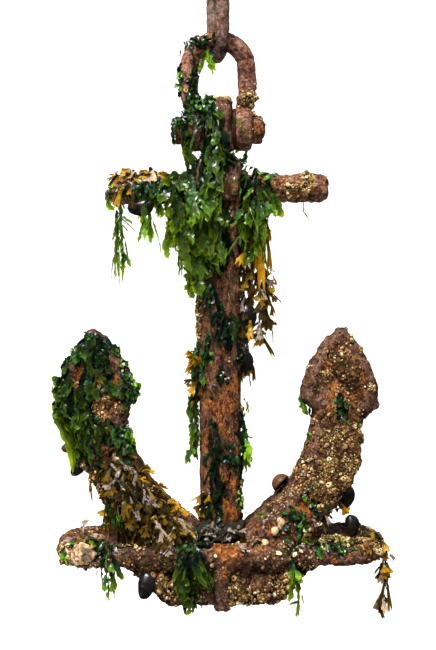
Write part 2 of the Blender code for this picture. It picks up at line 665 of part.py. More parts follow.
def is_closed(obj):
    bm = bmesh.new()
    bm.from_mesh(obj.data)
    closed = len(bm.faces) > 0 and all(len(edge.link_faces) == 2 for edge in bm.edges)
    bm.free()
    return closed


def copy_of(obj):
    bm = bmesh.new()
    bm.from_mesh(obj.data)
    return object_from_bmesh(obj.name, bm)


def shared_volume(a, b):
    common = combine(copy_of(a), copy_of(b), "INTERSECT")
    bm = bmesh.new()
    bm.from_mesh(common.data)
    volume = abs(bm.calc_volume())
    bm.free()
    bpy.data.objects.remove(common, do_unlink=True)
    return volume


def seat(growth, carriers):
    """Cut the growth back to a hairline gap from each solid that it meets.

    Where the cut doesn't close, or a corner of the carrier still reaches in, a slightly wider gap
    is taken.
    """
    for carrier in carriers:
        if near(growth, carrier):
            whole = growth.data.copy()
            for widening in range(7):
                growth.data = whole.copy()
                growth = cut(growth, grown(carrier, SEAT_GAP * (1 + 0.12 * widening)))
                if is_closed(growth) and shared_volume(growth, carrier) < SHARED_LIMIT:
                    break
    keep_largest_body(growth)
    return growth


# ---------------------------------------------------------------- assembly

def place(obj, material, joint):
    """Give a finished piece its material and hang it on its joint."""
    obj.data.materials.clear()
    obj.data.materials.append(material)
    obj.data.shade_smooth()
    obj.data.set_sharp_from_angle(angle=math.radians(35))
    WORKBENCH.objects.unlink(obj)
    ANCHOR.objects.link(obj)
    obj.parent = joint
    obj.matrix_parent_inverse = joint.matrix_world.inverted()


def make_joint(name, z):
    empty = bpy.data.objects.new(name, None)
    empty.location = (0, 0, z)
    empty.empty_display_size = 0.03
    ANCHOR.objects.link(empty)
    bpy.context.view_layer.update()
    return empty


clear_scene()
ANCHOR = make_collection("barnacled_anchor")
WORKBENCH = make_collection("cutters")

LINK_HANG = make_joint("link_hang", 0.0)
SHACKLE_SWING = make_joint("shackle_swing", -LINK_INNER_LENGTH - LINK_ROD / 2)
ANCHOR_SWING = make_joint("anchor_swing", BOLT_Z)

RUST = make_material("rusted_iron", (0.16, 0.07, 0.045), 0.85, 0.3)
GROWTH_MATERIALS = {
    "weed": make_material("green_weed", (0.03, 0.12, 0.02), 0.35),
    "fucus": make_material("brown_weed", (0.16, 0.1, 0.015), 0.4),
    "barnacle": make_material("barnacle_crust", (0.52, 0.4, 0.22), 0.9),
    "shell": make_material("pale_shell", (0.62, 0.5, 0.34), 0.7),
    "mussel": make_material("mussel_shell", (0.02, 0.02, 0.035), 0.35),
    "silt": make_material("packed_silt", (0.14, 0.12, 0.09), 0.9),
}

place(make_chain_link(), RUST, LINK_HANG)
for maker in (make_shackle, make_bolt, make_nut):
    place(maker(), RUST, SHACKLE_SWING)
for maker in (make_shank, make_stock, make_key, make_head, make_crown_pin):
    place(maker(), RUST, ANCHOR_SWING)
for keeper_name, keeper_side in (("keeper_pin_left", -1), ("keeper_pin_right", 1)):
    place(make_keeper(keeper_name, keeper_side), RUST, ANCHOR_SWING)


def solids():
    return [obj for obj in ANCHOR.objects if obj.type == "MESH"]


for growth_name, kind, flat, points in SHACKLE_GROWTH:
    place(seat(make_strand(growth_name, flat, points), solids()), GROWTH_MATERIALS[kind], SHACKLE_SWING)
for silt_name, silt_side in (("silt_pocket_front", -1), ("silt_pocket_back", 1)):
    place(make_silt(silt_name, silt_side), GROWTH_MATERIALS["silt"], ANCHOR_SWING)
for growth_name, kind, centre, half_sizes, tilt in ANCHOR_DOMES:
    dome = make_dome(growth_name, centre, half_sizes, tilt)
    place(seat(dome, solids()), GROWTH_MATERIALS[kind], ANCHOR_SWING)
for growth_name, kind, flat, points in ANCHOR_STRANDS:
    place(seat(make_strand(growth_name, flat, points), solids()), GROWTH_MATERIALS[kind], ANCHOR_SWING)
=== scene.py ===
"""Looks of the barnacled anchor: rusted iron, barnacles, shells, silt, green weed and brown weed."""
import json
import math
import random

import bmesh
import bpy
import numpy as np
from mathutils import Matrix, Vector, noise
from mathutils.bvhtree import BVHTree


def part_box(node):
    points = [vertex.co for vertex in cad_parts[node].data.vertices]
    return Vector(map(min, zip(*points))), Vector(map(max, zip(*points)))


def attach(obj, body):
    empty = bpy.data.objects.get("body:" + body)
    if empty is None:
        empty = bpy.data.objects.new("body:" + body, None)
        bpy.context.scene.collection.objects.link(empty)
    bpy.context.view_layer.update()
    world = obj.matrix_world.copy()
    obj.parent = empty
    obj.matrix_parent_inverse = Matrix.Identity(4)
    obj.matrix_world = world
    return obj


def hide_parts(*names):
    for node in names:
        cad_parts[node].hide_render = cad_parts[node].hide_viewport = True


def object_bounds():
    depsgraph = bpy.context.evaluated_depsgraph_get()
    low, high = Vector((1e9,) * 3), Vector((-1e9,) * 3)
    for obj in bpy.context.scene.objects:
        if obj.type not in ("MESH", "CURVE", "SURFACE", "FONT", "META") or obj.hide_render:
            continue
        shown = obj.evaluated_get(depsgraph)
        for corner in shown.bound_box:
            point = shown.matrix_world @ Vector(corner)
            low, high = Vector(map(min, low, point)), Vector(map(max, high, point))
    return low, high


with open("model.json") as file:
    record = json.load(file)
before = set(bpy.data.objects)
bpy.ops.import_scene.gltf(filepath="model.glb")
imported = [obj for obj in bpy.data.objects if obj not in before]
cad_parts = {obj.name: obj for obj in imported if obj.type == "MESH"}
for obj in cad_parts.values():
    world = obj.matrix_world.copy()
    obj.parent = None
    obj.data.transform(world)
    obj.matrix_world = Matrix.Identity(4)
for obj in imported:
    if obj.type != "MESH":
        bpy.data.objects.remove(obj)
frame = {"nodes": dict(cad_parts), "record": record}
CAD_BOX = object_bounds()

MM = 0.001
UP = Vector((0, 0, 1))
DOWN = Vector((0, 0, -1))
FRONT = Vector((0, -1, 0))


# ---------------------------------------------------------------- studio

CAMERA_DISTANCE = 1.333         # from the anchor's middle plane
CAMERA_HEIGHT = -0.444
CAMERA_SIDE = -0.002
CAMERA_ROLL = math.radians(-0.4)
VIEW_SHIFT = -0.0692            # the camera stands level and its frame is shifted down
LENS = 49.2
FLOOR_Z = -1.25
SWEEP_GLOW = 0.85
SKY = 0.45                      # overcast sky, seen only in wet surfaces


def make_camera():
    data = bpy.data.cameras.new("camera")
    data.lens = LENS
    data.sensor_width = 36
    data.shift_y = VIEW_SHIFT
    camera = bpy.data.objects.new("camera", data)
    bpy.context.collection.objects.link(camera)
    look = Matrix.Rotation(math.pi / 2, 4, "X") @ Matrix.Rotation(CAMERA_ROLL, 4, "Z")
    camera.matrix_world = Matrix.Translation((CAMERA_SIDE, -CAMERA_DISTANCE, CAMERA_HEIGHT)) @ look
    bpy.context.scene.camera = camera


def make_light(name, place, target, size, power, mirrored=True):
    """A rectangular soft light; one that is not mirrored adds no gloss."""
    data = bpy.data.lights.new(name, "AREA")
    data.shape = "RECTANGLE"
    data.size, data.size_y = size
    data.energy = power
    light = bpy.data.objects.new(name, data)
    bpy.context.collection.objects.link(light)
    light.location = place
    light.visible_glossy = mirrored
    light.rotation_euler = (Vector(target) - Vector(place)).to_track_quat("-Z", "Y").to_euler()


def make_sweep():
    """Pale floor that curves up into a back wall."""
    profile = [(-7.0, FLOOR_Z), (-2.0, FLOOR_Z), (0.0, FLOOR_Z), (1.0, FLOOR_Z), (3.2, FLOOR_Z)]
    profile += [(3.2 + math.sin(a), FLOOR_Z + 1 - math.cos(a)) for a in (math.radians(9 * i) for i in range(1, 11))]
    profile += [(4.2, 2.0), (4.2, 4.5)]
    mesh = bpy.data.meshes.new("sweep")
    points = [(side, y, z) for side in (-8, 8) for y, z in profile]
    count = len(profile)
    mesh.from_pydata(points, [], [(i, i + count, i + count + 1, i + 1) for i in range(count - 1)])
    mesh.shade_smooth()
    sweep = bpy.data.objects.new("sweep", mesh)
    bpy.context.collection.objects.link(sweep)
    return sweep


def make_studio():
    """Pale sweep that glows white behind the anchor, a soft light above, a weak one in front, sky for the gloss."""
    sweep = make_sweep()
    sweep.visible_glossy = False
    pale = Finish("pale_sweep", roughness=0.9, base_color=(0.45, 0.45, 0.45))
    pale.shader.inputs["Emission Strength"].default_value = SWEEP_GLOW
    depth = pale.node("ShaderNodeSeparateXYZ", None, {0: pale.place()}, "Y")
    pale.feed(pale.shader.inputs["Emission Color"], pale.mix(pale.step(depth, 0.0, 0.9), (0, 0, 0), (1, 1, 1)))
    sweep.data.materials.append(pale.material)
    world = bpy.data.worlds.new("surround")
    bpy.context.scene.world = world
    world.use_nodes = True
    nodes, links = world.node_tree.nodes, world.node_tree.links
    split = nodes.new("ShaderNodeSeparateXYZ")
    height = nodes.new("ShaderNodeMapRange")
    height.inputs["From Max"].default_value = 0.6
    links.new(nodes.new("ShaderNodeTexCoord").outputs["Generated"], split.inputs[0])
    links.new(split.outputs["Z"], height.inputs["Value"])
    links.new(height.outputs[0], nodes["Background"].inputs["Color"])
    nodes["Background"].inputs["Strength"].default_value = SKY
    world.cycles_visibility.diffuse = False
    middle = (0, 0, -0.5)
    make_light("overhead", (-0.7, -1.7, 2.4), middle, (2.0, 1.5), 530)
    make_light("front_fill", (0.5, -2.4, -0.4), middle, (1.6, 1.6), 12, False)
    bpy.context.scene.view_settings.view_transform = "Standard"


make_camera()


# ---------------------------------------------------------------- shader maths

SOCKETS = {"base_color": "Base Color", "roughness": "Roughness", "metallic": "Metallic", "normal": "Normal",
           "coat": "Coat Weight", "coat_roughness": "Coat Roughness", "specular": "Specular IOR Level",
           "sheen": "Sheen Weight"}


class Field:
    """A socket that varies over a surface, with arithmetic that adds Math nodes."""

    def __init__(self, finish, socket):
        self.finish = finish
        self.socket = socket

    def maths(self, operation, first, second):
        return self.finish.node("ShaderNodeMath", {"operation": operation}, {0: first, 1: second})

    def __add__(self, other):
        return self.maths("ADD", self, other)

    __radd__ = __add__

    def __sub__(self, other):
        return self.maths("SUBTRACT", self, other)

    def __rsub__(self, other):
        return self.maths("SUBTRACT", other, self)

    def __mul__(self, other):
        return self.maths("MULTIPLY", self, other)

    __rmul__ = __mul__

    def __pow__(self, other):
        return self.maths("POWER", self, other)


class Finish:
    """One material being built on its Principled shader."""

    def __init__(self, name, **constants):
        self.material = bpy.data.materials.new(name)
        self.material.use_nodes = True
        self.nodes = self.material.node_tree.nodes
        self.links = self.material.node_tree.links
        self.shader = self.nodes["Principled BSDF"]
        self.set(**constants)

    def node(self, kind, settings=None, inputs=None, output=None):
        """Adds a node: settings first, then socket values or links. Returns one output as a Field."""
        made = self.nodes.new(kind)
        for name, value in (settings or {}).items():
            if name == "stops":
                self.set_stops(made.color_ramp, value)
            else:
                setattr(made, name, value)
        for name, value in (inputs or {}).items():
            self.feed(self.find(made.inputs, name), value)
        return Field(self, self.find(made.outputs, output if output is not None else 0))

    @staticmethod
    def find(sockets, name):
        usable = [socket for socket in sockets if socket.enabled]
        return usable[name] if isinstance(name, int) else next(s for s in usable if s.name == name)

    @staticmethod
    def set_stops(ramp, stops):
        while len(ramp.elements) < len(stops):
            ramp.elements.new(1.0)
        for element, (position, colour) in zip(ramp.elements, stops):
            element.position = position
            element.color = (*colour, 1.0)

    def feed(self, socket, value):
        if isinstance(value, Field):
            self.links.new(value.socket, socket)
        elif isinstance(value, tuple) and len(value) == 3 and len(socket.default_value) == 4:
            socket.default_value = (*value, 1.0)
        else:
            socket.default_value = value

    def set(self, **values):
        for name, value in values.items():
            self.feed(self.shader.inputs[SOCKETS[name]], value)

    def place(self):
        return self.node("ShaderNodeTexCoord", output="Object")

    def noise(self, scale, detail=4.0, roughness=0.6, distortion=0.0, stretch=None):
        place = self.place()
        if stretch:
            place = self.node("ShaderNodeVectorMath", {"operation": "MULTIPLY"}, {0: place, 1: stretch})
        inputs = {"Vector": place, "Scale": scale, "Detail": detail, "Roughness": roughness,
                  "Distortion": distortion}
        return self.node("ShaderNodeTexNoise", None, inputs)

    def cells(self, scale, randomness=1.0):
        inputs = {"Vector": self.place(), "Scale": scale, "Randomness": randomness}
        return self.node("ShaderNodeTexVoronoi", None, inputs)

    def painted(self, name):
        """A value that the mesh carries at each vertex."""
        return self.node("ShaderNodeAttribute", {"attribute_name": name}, output="Fac")

    def step(self, value, low, high):
        """0 below low, 1 above high, smooth between."""
        inputs = {"Value": value, "From Min": low, "From Max": high}
        return self.node("ShaderNodeMapRange", {"interpolation_type": "SMOOTHSTEP"}, inputs)

    def mix(self, amount, first, second, how="MIX"):
        settings = {"data_type": "RGBA", "blend_type": how}
        return self.node("ShaderNodeMix", settings, {"Factor": amount, "A": first, "B": second})

    def ramp(self, value, *stops):
        return self.node("ShaderNodeValToRGB", {"stops": stops}, {"Fac": value})

    def bump(self, height, distance, strength=1.0, under=None):
        inputs = {"Height": height, "Distance": distance, "Strength": strength}
        if under is not None:
            inputs["Normal"] = under
        return self.node("ShaderNodeBump", None, inputs)

    def let_light_through(self, colour, amount):
        """Part of the light passes through the sheet and takes this colour."""
        through = self.node("ShaderNodeBsdfTranslucent", None, {"Color": colour})
        body = Field(self, self.shader.outputs[0])
        both = self.node("ShaderNodeMixShader", None, {0: amount, 1: body, 2: through})
        self.links.new(both.socket, self.nodes["Material Output"].inputs["Surface"])


make_studio()


# ---------------------------------------------------------------- finishes

def rusted_iron(name, dark, middle, bright, orange, grain_scale=(1.0, 1.0, 1.0), ashen=0.2, blackness=0.97):
    """Pitted iron: dark skin, red scale and orange bloom; the mesh paints in its own pitting, painted shade and bloom.
    """
    iron = Finish(name, specular=0.05, coat_roughness=0.27)
    broad = iron.noise(30, 4, 0.6, 0.6, grain_scale)
    scale = iron.noise(125, 5, 0.7, 0.9, grain_scale)
    grain = iron.noise(330, 5, 0.75, 0.4)
    speck = iron.noise(900, 2, 0.6)
    tone = iron.step(broad * 0.35 + scale * 0.45 + grain * 0.35, 0.46, 0.72)
    skin = iron.ramp(tone, (0.0, dark), (0.4, middle), (1.0, bright))
    bloom = iron.step(iron.painted("bloom") * 0.5 + scale * 0.65 + grain * 0.45, 0.78, 0.98)
    rust = iron.mix(iron.step(grain, 0.35, 0.65), (0.12, 0.02, 0.004), (0.56, 0.17, 0.022))
    skin = iron.mix(bloom * orange, skin, rust)
    ash = iron.step(iron.noise(190, 4, 0.75, 0.3), 0.56, 0.66)
    skin = iron.mix(ash * ashen, skin, (0.42, 0.26, 0.18))
    black = iron.step(iron.noise(210, 5, 0.8, 0.7, grain_scale), 0.5, 0.6)
    skin = iron.mix(black * blackness, skin, (0.008, 0.004, 0.003))
    film = iron.step(iron.noise(40, 4, 0.65, 0.5) + grain * 0.25, 0.7, 0.78)
    skin = iron.mix(film * 0.7, skin, (0.045, 0.055, 0.008))
    pale = iron.step(iron.painted("pale") + grain * 0.5, 0.75, 0.95)
    skin = iron.mix(pale * 0.85, skin, (0.66, 0.52, 0.25))
    # near black in the corrosion pitting, as the iron's own oxide, and as painted shade on the shade spots and the gap
    # discs
    skin = iron.mix(iron.painted("hollow") * 0.9, skin, (0.006, 0.003, 0.002))
    wet = iron.step(iron.noise(240, 3, 0.6), 0.55, 0.68)
    iron.set(base_color=skin, roughness=grain * 0.35 + 0.38, coat=wet * 0.75)
    coarse = iron.bump(scale + grain * 0.7, 3.0 * MM, 1.0)
    iron.set(normal=iron.bump(speck + grain, 1.0 * MM, 1.0, coarse))
    return iron.material


def barnacle_crust():
    """Chalky plates, with painted shade at the foot and in the gaps between the cones, and dark in the mouth."""
    crust = Finish("barnacle_crust", specular=0.05)
    tone = crust.painted("tone")
    speck = crust.noise(1000, 3, 0.7)
    plate = crust.ramp(tone, (0.0, (0.05, 0.022, 0.008)), (0.3, (0.2, 0.1, 0.026)), (0.6, (0.5, 0.31, 0.11)),
                       (0.85, (0.74, 0.54, 0.26)), (1.0, (0.86, 0.74, 0.5)))
    plate = crust.mix(crust.step(speck, 0.4, 0.7) * 0.6, plate, (0.1, 0.05, 0.015))
    algae = crust.step(crust.noise(60, 3), 0.56, 0.66)
    plate = crust.mix(algae * 0.4, plate, (0.12, 0.12, 0.01))
    rusty = crust.step(crust.noise(48, 3, 0.6, 0.5), 0.5, 0.6)
    plate = crust.mix(rusty * 0.75, plate, (0.11, 0.04, 0.018))
    # painted shade: the low parts, the foot of each cone and the crust between them, go near black
    plate = crust.mix((1 - crust.step(crust.painted("rise"), 0.1, 0.75)) * 0.92, plate, (0.016, 0.008, 0.003))
    plate = crust.mix(crust.painted("mouth"), plate, (0.004, 0.002, 0.001))
    crust.set(base_color=plate, roughness=speck * 0.2 + 0.6)
    rough = crust.bump(crust.noise(300, 4, 0.75), 2.5 * MM, 1.0)
    crust.set(normal=crust.bump(speck, 0.7 * MM, 0.9, rough))
    return crust.material


def pale_shell():
    shell = Finish("pale_shell", specular=0.1)
    tone = shell.painted("tone")
    line = shell.node("ShaderNodeTexNoise", {"noise_dimensions": "1D"},
                      {"W": shell.painted("growth") * 14.0, "Scale": 1.0, "Detail": 3.0})
    body = shell.ramp(tone, (0.0, (0.07, 0.045, 0.04)), (0.3, (0.2, 0.11, 0.06)), (0.6, (0.55, 0.38, 0.2)),
                      (1.0, (0.9, 0.74, 0.48)))
    body = shell.mix(shell.step(line, 0.45, 0.65) * 0.6, body, (0.17, 0.1, 0.05))
    stain = shell.step(shell.noise(160, 4, 0.7), 0.48, 0.66)
    body = shell.mix(stain * 0.75, body, (0.1, 0.07, 0.035))
    shell.set(base_color=body, roughness=stain * 0.3 + 0.45)
    shell.set(normal=shell.bump(line, 0.6 * MM, 0.7))
    return shell.material


def mussel_shell():
    """Blue-black shell with growth lines, paler and worn near the beak."""
    mussel = Finish("mussel_shell", specular=0.1, coat_roughness=0.28)
    growth = mussel.painted("growth")
    line = mussel.node("ShaderNodeTexNoise", {"noise_dimensions": "1D"},
                       {"W": growth * 26.0, "Scale": 1.0, "Detail": 2.0})
    body = mussel.ramp(line, (0.35, (0.002, 0.002, 0.002)), (0.55, (0.006, 0.005, 0.006)),
                       (0.75, (0.025, 0.017, 0.014)))
    body = mussel.mix(mussel.painted("brown"), body, mussel.ramp(line, (0.35, (0.012, 0.005, 0.002)),
                                                                 (0.65, (0.13, 0.05, 0.012))))
    worn = mussel.step(mussel.noise(220, 4, 0.7) + (1 - growth) * 0.35, 0.84, 0.98)
    body = mussel.mix(worn * 0.5, body, (0.24, 0.21, 0.2))
    mussel.set(base_color=body, roughness=worn * 0.4 + 0.22, coat=(0.6 - worn * 0.4) * (1 - mussel.painted("brown") * 0.7))
    mussel.set(normal=mussel.bump(line + mussel.noise(160, 4, 0.7), 1.2 * MM, 0.8))
    return mussel.material


def green_weed():
    """Wet frond: blue-green, with near-black painted shade in patches and on the inner fronds, and yellow-green where
    light comes through, painted into the colour as well as let through.
    """
    weed = Finish("green_weed", specular=0.03, coat_roughness=0.3)
    tone = weed.painted("tone")
    thin = weed.painted("thin")
    vein = weed.noise(380, 4, 0.7)
    cloud = weed.noise(130, 3, 0.6)
    shade = (tone + cloud * 1.3 + vein * 0.7) * 1.3 - 1.42
    leaf = weed.ramp(shade, (0.0, (0.0005, 0.004, 0.002)), (0.3, (0.004, 0.026, 0.009)),
                     (0.65, (0.028, 0.13, 0.022)), (1.0, (0.15, 0.32, 0.01)))
    # Near-black noise patches: painted shade for the hollows of the clump; thin, backlit parts are spared.
    leaf = weed.mix(weed.step(weed.noise(105, 4, 0.7), 0.46, 0.54) * 0.95 + thin, (0.001, 0.003, 0.002), leaf)
    # Painted backlight: yellow-green in the colour where the frond is thin and hangs clear of the iron.
    leaf = weed.mix(thin * 0.4, leaf, (0.3, 0.46, 0.004))
    wet = weed.step(weed.noise(150, 3, 0.6, 0.4), 0.44, 0.6)
    weed.set(base_color=leaf, roughness=0.5, coat=wet * 0.85)
    weed.set(normal=weed.bump(vein + cloud, 3.2 * MM, 1.0))
    through = weed.mix(thin, (0.25, 0.6, 0.01), (0.9, 1.0, 0.0))
    weed.let_light_through(through, thin * 0.62 + 0.015)
    return weed.material


def brown_weed():
    """Leathery olive blade, ochre at the tips, with a pale wet bloom on some blades."""
    weed = Finish("brown_weed", specular=0.03, coat_roughness=0.3)
    tone = weed.painted("tone")
    tip = weed.painted("thin")
    grain = weed.noise(420, 3, 0.65)
    cloud = weed.noise(110, 3, 0.6)
    blade = weed.ramp(tone + cloud * 1.2 + grain * 0.5 - 0.85, (0.0, (0.005, 0.003, 0.0005)), (0.35, (0.028, 0.019, 0.002)),
                      (0.7, (0.11, 0.075, 0.004)), (1.0, (0.3, 0.18, 0.008)))
    # Near-black noise patches: painted shade for the hollows of the clump.
    blade = weed.mix(weed.step(weed.noise(90, 4, 0.7), 0.46, 0.54) * 0.92 + tip * 0.6, (0.003, 0.002, 0.001), blade)
    # Ochre tips, the blade's own colour, painted weaker where the tip lies against the iron: painted backlight.
    blade = weed.mix(tip * weed.step(tone, 0.25, 0.95) * 0.75, blade, (0.46, 0.21, 0.004))
    blade = weed.mix(weed.painted("bloom") * weed.step(grain, 0.3, 0.6) * 0.75, blade, (0.29, 0.23, 0.2))
    wet = weed.step(weed.noise(150, 3, 0.6, 0.4), 0.5, 0.64)
    weed.set(base_color=blade, roughness=0.5, coat=wet * 0.65)
    weed.set(normal=weed.bump(grain + cloud, 1.6 * MM, 0.9))
    through = weed.mix(tip, (0.3, 0.16, 0.004), (0.85, 0.42, 0.004))
    weed.let_light_through(through, (tip * 0.42 + 0.03) * (tone * 0.8 + 0.2))
    return weed.material


def packed_silt():
    silt = Finish("packed_silt", specular=0.08)
    grit = silt.noise(500, 5, 0.75)
    lump = silt.noise(150, 4, 0.7)
    body = silt.ramp(grit * 0.7 + lump * 0.3, (0.35, (0.002, 0.0015, 0.001)), (0.5, (0.01, 0.008, 0.006)),
                     (0.66, (0.028, 0.021, 0.016)))
    silt.set(base_color=body, roughness=grit * 0.4 + 0.4, normal=silt.bump(grit + lump, 1.2 * MM, 1.0))
    return silt.material


TALL = (1.0, 1.0, 0.4)      # scale that runs in upright flakes
FINISHES = {
    "iron_link": rusted_iron("iron_link", (0.024, 0.013, 0.009), (0.1, 0.058, 0.042), (0.28, 0.185, 0.145), 0.2,
                             blackness=0.45),
    "iron_shackle": rusted_iron("iron_shackle", (0.032, 0.012, 0.008), (0.135, 0.053, 0.033), (0.37, 0.2, 0.135), 0.72,
                                blackness=0.6),
    "iron_fastener": rusted_iron("iron_fastener", (0.03, 0.013, 0.007), (0.14, 0.055, 0.026), (0.35, 0.17, 0.09),
                                 0.7),
    "iron_shank": rusted_iron("iron_shank", (0.015, 0.007, 0.004), (0.07, 0.029, 0.015), (0.22, 0.1, 0.05), 0.65,
                              TALL, 0.2),
    "iron_stock": rusted_iron("iron_stock", (0.03, 0.012, 0.007), (0.15, 0.064, 0.034), (0.42, 0.23, 0.13), 0.7),
    "iron_casting": rusted_iron("iron_casting", (0.02, 0.008, 0.006), (0.085, 0.036, 0.022), (0.26, 0.14, 0.085),
                                0.75),
    "barnacle_crust": barnacle_crust(),
    "pale_shell": pale_shell(),
    "mussel_shell": mussel_shell(),
    "green_weed": green_weed(),
    "brown_weed": brown_weed(),
    "packed_silt": packed_silt(),
}
BODY_OF = {node: body for body, nodes in frame["record"]["behaviour"]["bodies"].items() for node in nodes}


# ---------------------------------------------------------------- pieces from loose shapes

def face_table(faces):
    """Faces as one run of corner numbers and the number of corners of each face."""
    return np.array([c for face in faces for c in face]), np.array([len(face) for face in faces])


class Heap:
    """Many small shapes gathered into one mesh, with values painted at their points."""

    def __init__(self):
        self.points, self.corners, self.sizes, self.values = [], [], [], {}
        self.count = 0

    def add(self, points, table, **values):
        corners, sizes = table
        self.points.append(points)
        self.corners.append(corners + self.count)
        self.sizes.append(sizes)
        for name, value in values.items():
            self.values.setdefault(name, []).append(np.broadcast_to(np.float32(value), (len(points),)))
        self.count += len(points)

    def piece(self, name, slot, body, stands_for=()):
        mesh = bpy.data.meshes.new(name)
        corners, sizes = np.concatenate(self.corners), np.concatenate(self.sizes)
        mesh.vertices.add(self.count)
        mesh.vertices.foreach_set("co", np.concatenate(self.points).astype(np.float32).ravel())
        mesh.loops.add(len(corners))
        mesh.loops.foreach_set("vertex_index", corners.astype(np.int32))
        mesh.polygons.add(len(sizes))
        mesh.polygons.foreach_set("loop_start", (np.cumsum(sizes) - sizes).astype(np.int32))
        mesh.update(calc_edges=True)
        mesh.validate()
        for value_name, parts in self.values.items():
            paint(mesh, value_name, np.concatenate(parts))
        mesh.shade_smooth()
        return settle(name, mesh, slot, body, stands_for)


def paint(mesh, name, values):
    layer = mesh.attributes.new(name, "FLOAT", "POINT")
    layer.data.foreach_set("value", np.asarray(values, dtype=np.float32))


def settle(name, mesh, slot, body, stands_for=()):
    """A finished mesh becomes a piece: its finish, its body and the nodes it stands for."""
    mesh.name = name
    mesh.materials.clear()
    mesh.materials.append(FINISHES[slot])
    piece = bpy.data.objects.new(name, mesh)
    bpy.context.collection.objects.link(piece)
    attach(piece, body)
    for node in stands_for:
        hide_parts(node)
    return piece


def at(node, across, through, up):
    """A place in a node's box, each way from 0, its low side, to 1, its high side."""
    low, high = (Vector(corner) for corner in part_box(node))
    return Vector([low[i] + (high[i] - low[i]) * (across, through, up)[i] for i in range(3)])


# ---------------------------------------------------------------- iron

def vertex_arrays(mesh):
    count = len(mesh.vertices)
    places, normals = np.empty(count * 3, np.float32), np.empty(count * 3, np.float32)
    mesh.vertices.foreach_get("co", places)
    mesh.vertex_normals.foreach_get("vector", normals)
    return places.reshape(-1, 3), normals.reshape(-1, 3)


def remeshed(node, voxel):
    rough = bpy.data.objects.new("rough", frame["nodes"][node].data.copy())
    bpy.context.collection.objects.link(rough)
    grid = rough.modifiers.new("grid", "REMESH")
    grid.mode = "VOXEL"
    grid.voxel_size = voxel
    bpy.context.view_layer.update()
    mesh = bpy.data.meshes.new_from_object(rough.evaluated_get(bpy.context.evaluated_depsgraph_get()))
    bpy.data.objects.remove(rough, do_unlink=True)
    return mesh


def corrosion(point, grain):
    """Height of the corroded surface at a point, in metres, with its pit depth from 0 to 1."""
    along = Vector((point.x * grain[0], point.y * grain[1], point.z * grain[2]))
    wave = noise.noise(point * 24) * 1.6
    scab = noise.fractal(along * 80 + Vector((3, 1, 7)), 0.6, 2.1, 3)
    flake = 1.0 if scab > 0.12 else max(0.0, scab / 0.12)
    nearest = noise.voronoi(along * 105)[0]
    pit = max(0.0, 1 - nearest[0] / 0.45) * max(0.0, noise.noise(point * 31 + Vector((9, 4, 2))) + 0.45)
    pit = min(1.0, pit * 1.7)
    grit = noise.noise(point * 400) * 0.45
    return (wave + 1.5 * scab + 1.0 * flake + grit - 2.2 * pit) * MM, pit


def bloom_at(point, warm_spots):
    """How orange the rust is at a point: drifting patches, and more on the named warm spots."""
    drift = 0.36 + 0.5 * noise.fractal(point * 34 + Vector((5, 5, 5)), 0.7, 2.0, 3)
    for centre, reach, gain in warm_spots:
        drift += gain * max(0.0, 1 - (point - centre).length / reach)
    return drift


RIM = 11 * MM           # width of the raised rim along the arms and flukes
RIM_SLOPE = 6 * MM
RIM_HEIGHT = 5 * MM
ARMS_FOOT = -0.80       # below this the head is crown and palms, without a rim


def sink_panels(node, places, normals):
    """Lowers the faces of the arms and flukes inside a rim; returns 0 on the rim and 1 inside it."""
    solid = BVHTree.FromBMesh(solid_of(node))
    ways = [Vector((math.cos(a), 0, math.sin(a))) for a in (math.tau * i / 12 for i in range(12))]
    inner = np.full(len(places), 0.5, np.float32)
    for i, (place, normal) in enumerate(zip(places, normals)):
        if place[2] > ARMS_FOOT and abs(normal[1]) > 0.7:
            inside = Vector(place) - Vector(normal) * 6 * MM
            edge = min(solid.ray_cast(inside, way, 0.2)[3] or 0.2 for way in ways)
            share = min(1.0, max(0.0, (edge - RIM) / RIM_SLOPE))
            share *= share * (3 - 2 * share)
            fade = min(1.0, (place[2] - ARMS_FOOT) / 0.03)
            places[i] -= normal * RIM_HEIGHT * share * fade
            inner[i] = 0.5 + (share - 0.5) * fade
    return inner


def solid_of(node):
    solid = bmesh.new()
    solid.from_mesh(frame["nodes"][node].data)
    return solid


def soften(mesh, passes):
    """Wears sharp edges round."""
    form = bmesh.new()
    form.from_mesh(mesh)
    for _ in range(passes):
        bmesh.ops.smooth_vert(form, verts=form.verts, factor=0.5, use_axis_x=True, use_axis_y=True, use_axis_z=True)
    form.to_mesh(mesh)
    form.free()


def make_skin(node, voxel, strength, slot, warm_spots=(), grain=(1, 1, 1), panels=False, cap=0.0, wear=2,
              shade_spots=()):
    """The node's own shape, remeshed fine, worn and corroded, in place of the node."""
    mesh = remeshed(node, voxel)
    soften(mesh, wear)
    places, normals = vertex_arrays(mesh)
    inner = sink_panels(node, places, normals) if panels else np.full(len(places), 0.5)
    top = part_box(node)[1][2]
    heights, pit_and_shade, blooms, pale = [], [], [], []
    for place, normal, share in zip(places, normals, inner):
        point = Vector(place)
        height, pit = corrosion(point, grain)
        heights.append(height * strength * (0.6 + 0.8 * share))
        # painted shade: each shade spot darkens the skin round it, where shade falls
        painted_shade = sum(gain * max(0.0, 1 - (point - centre).length / reach) for centre, reach, gain in shade_spots)
        pit_and_shade.append(min(1.0, pit * min(1.0, 0.4 + 1.2 * share) + painted_shade * (0.6 + noise.noise(point * 60))))
        blooms.append(bloom_at(point, warm_spots) + (share - 0.5) * 0.7)
        pale.append(cap * max(0.0, float(normal[2])) * (1 if top - point.z < 14 * MM else 0))
    places += normals * np.array(heights, np.float32)[:, None]
    mesh.vertices.foreach_set("co", places.ravel())
    paint(mesh, "hollow", pit_and_shade)
    paint(mesh, "bloom", blooms)
    paint(mesh, "pale", pale)
    mesh.shade_smooth()
    return settle(node + "_skin", mesh, slot, BODY_OF[node], [node])


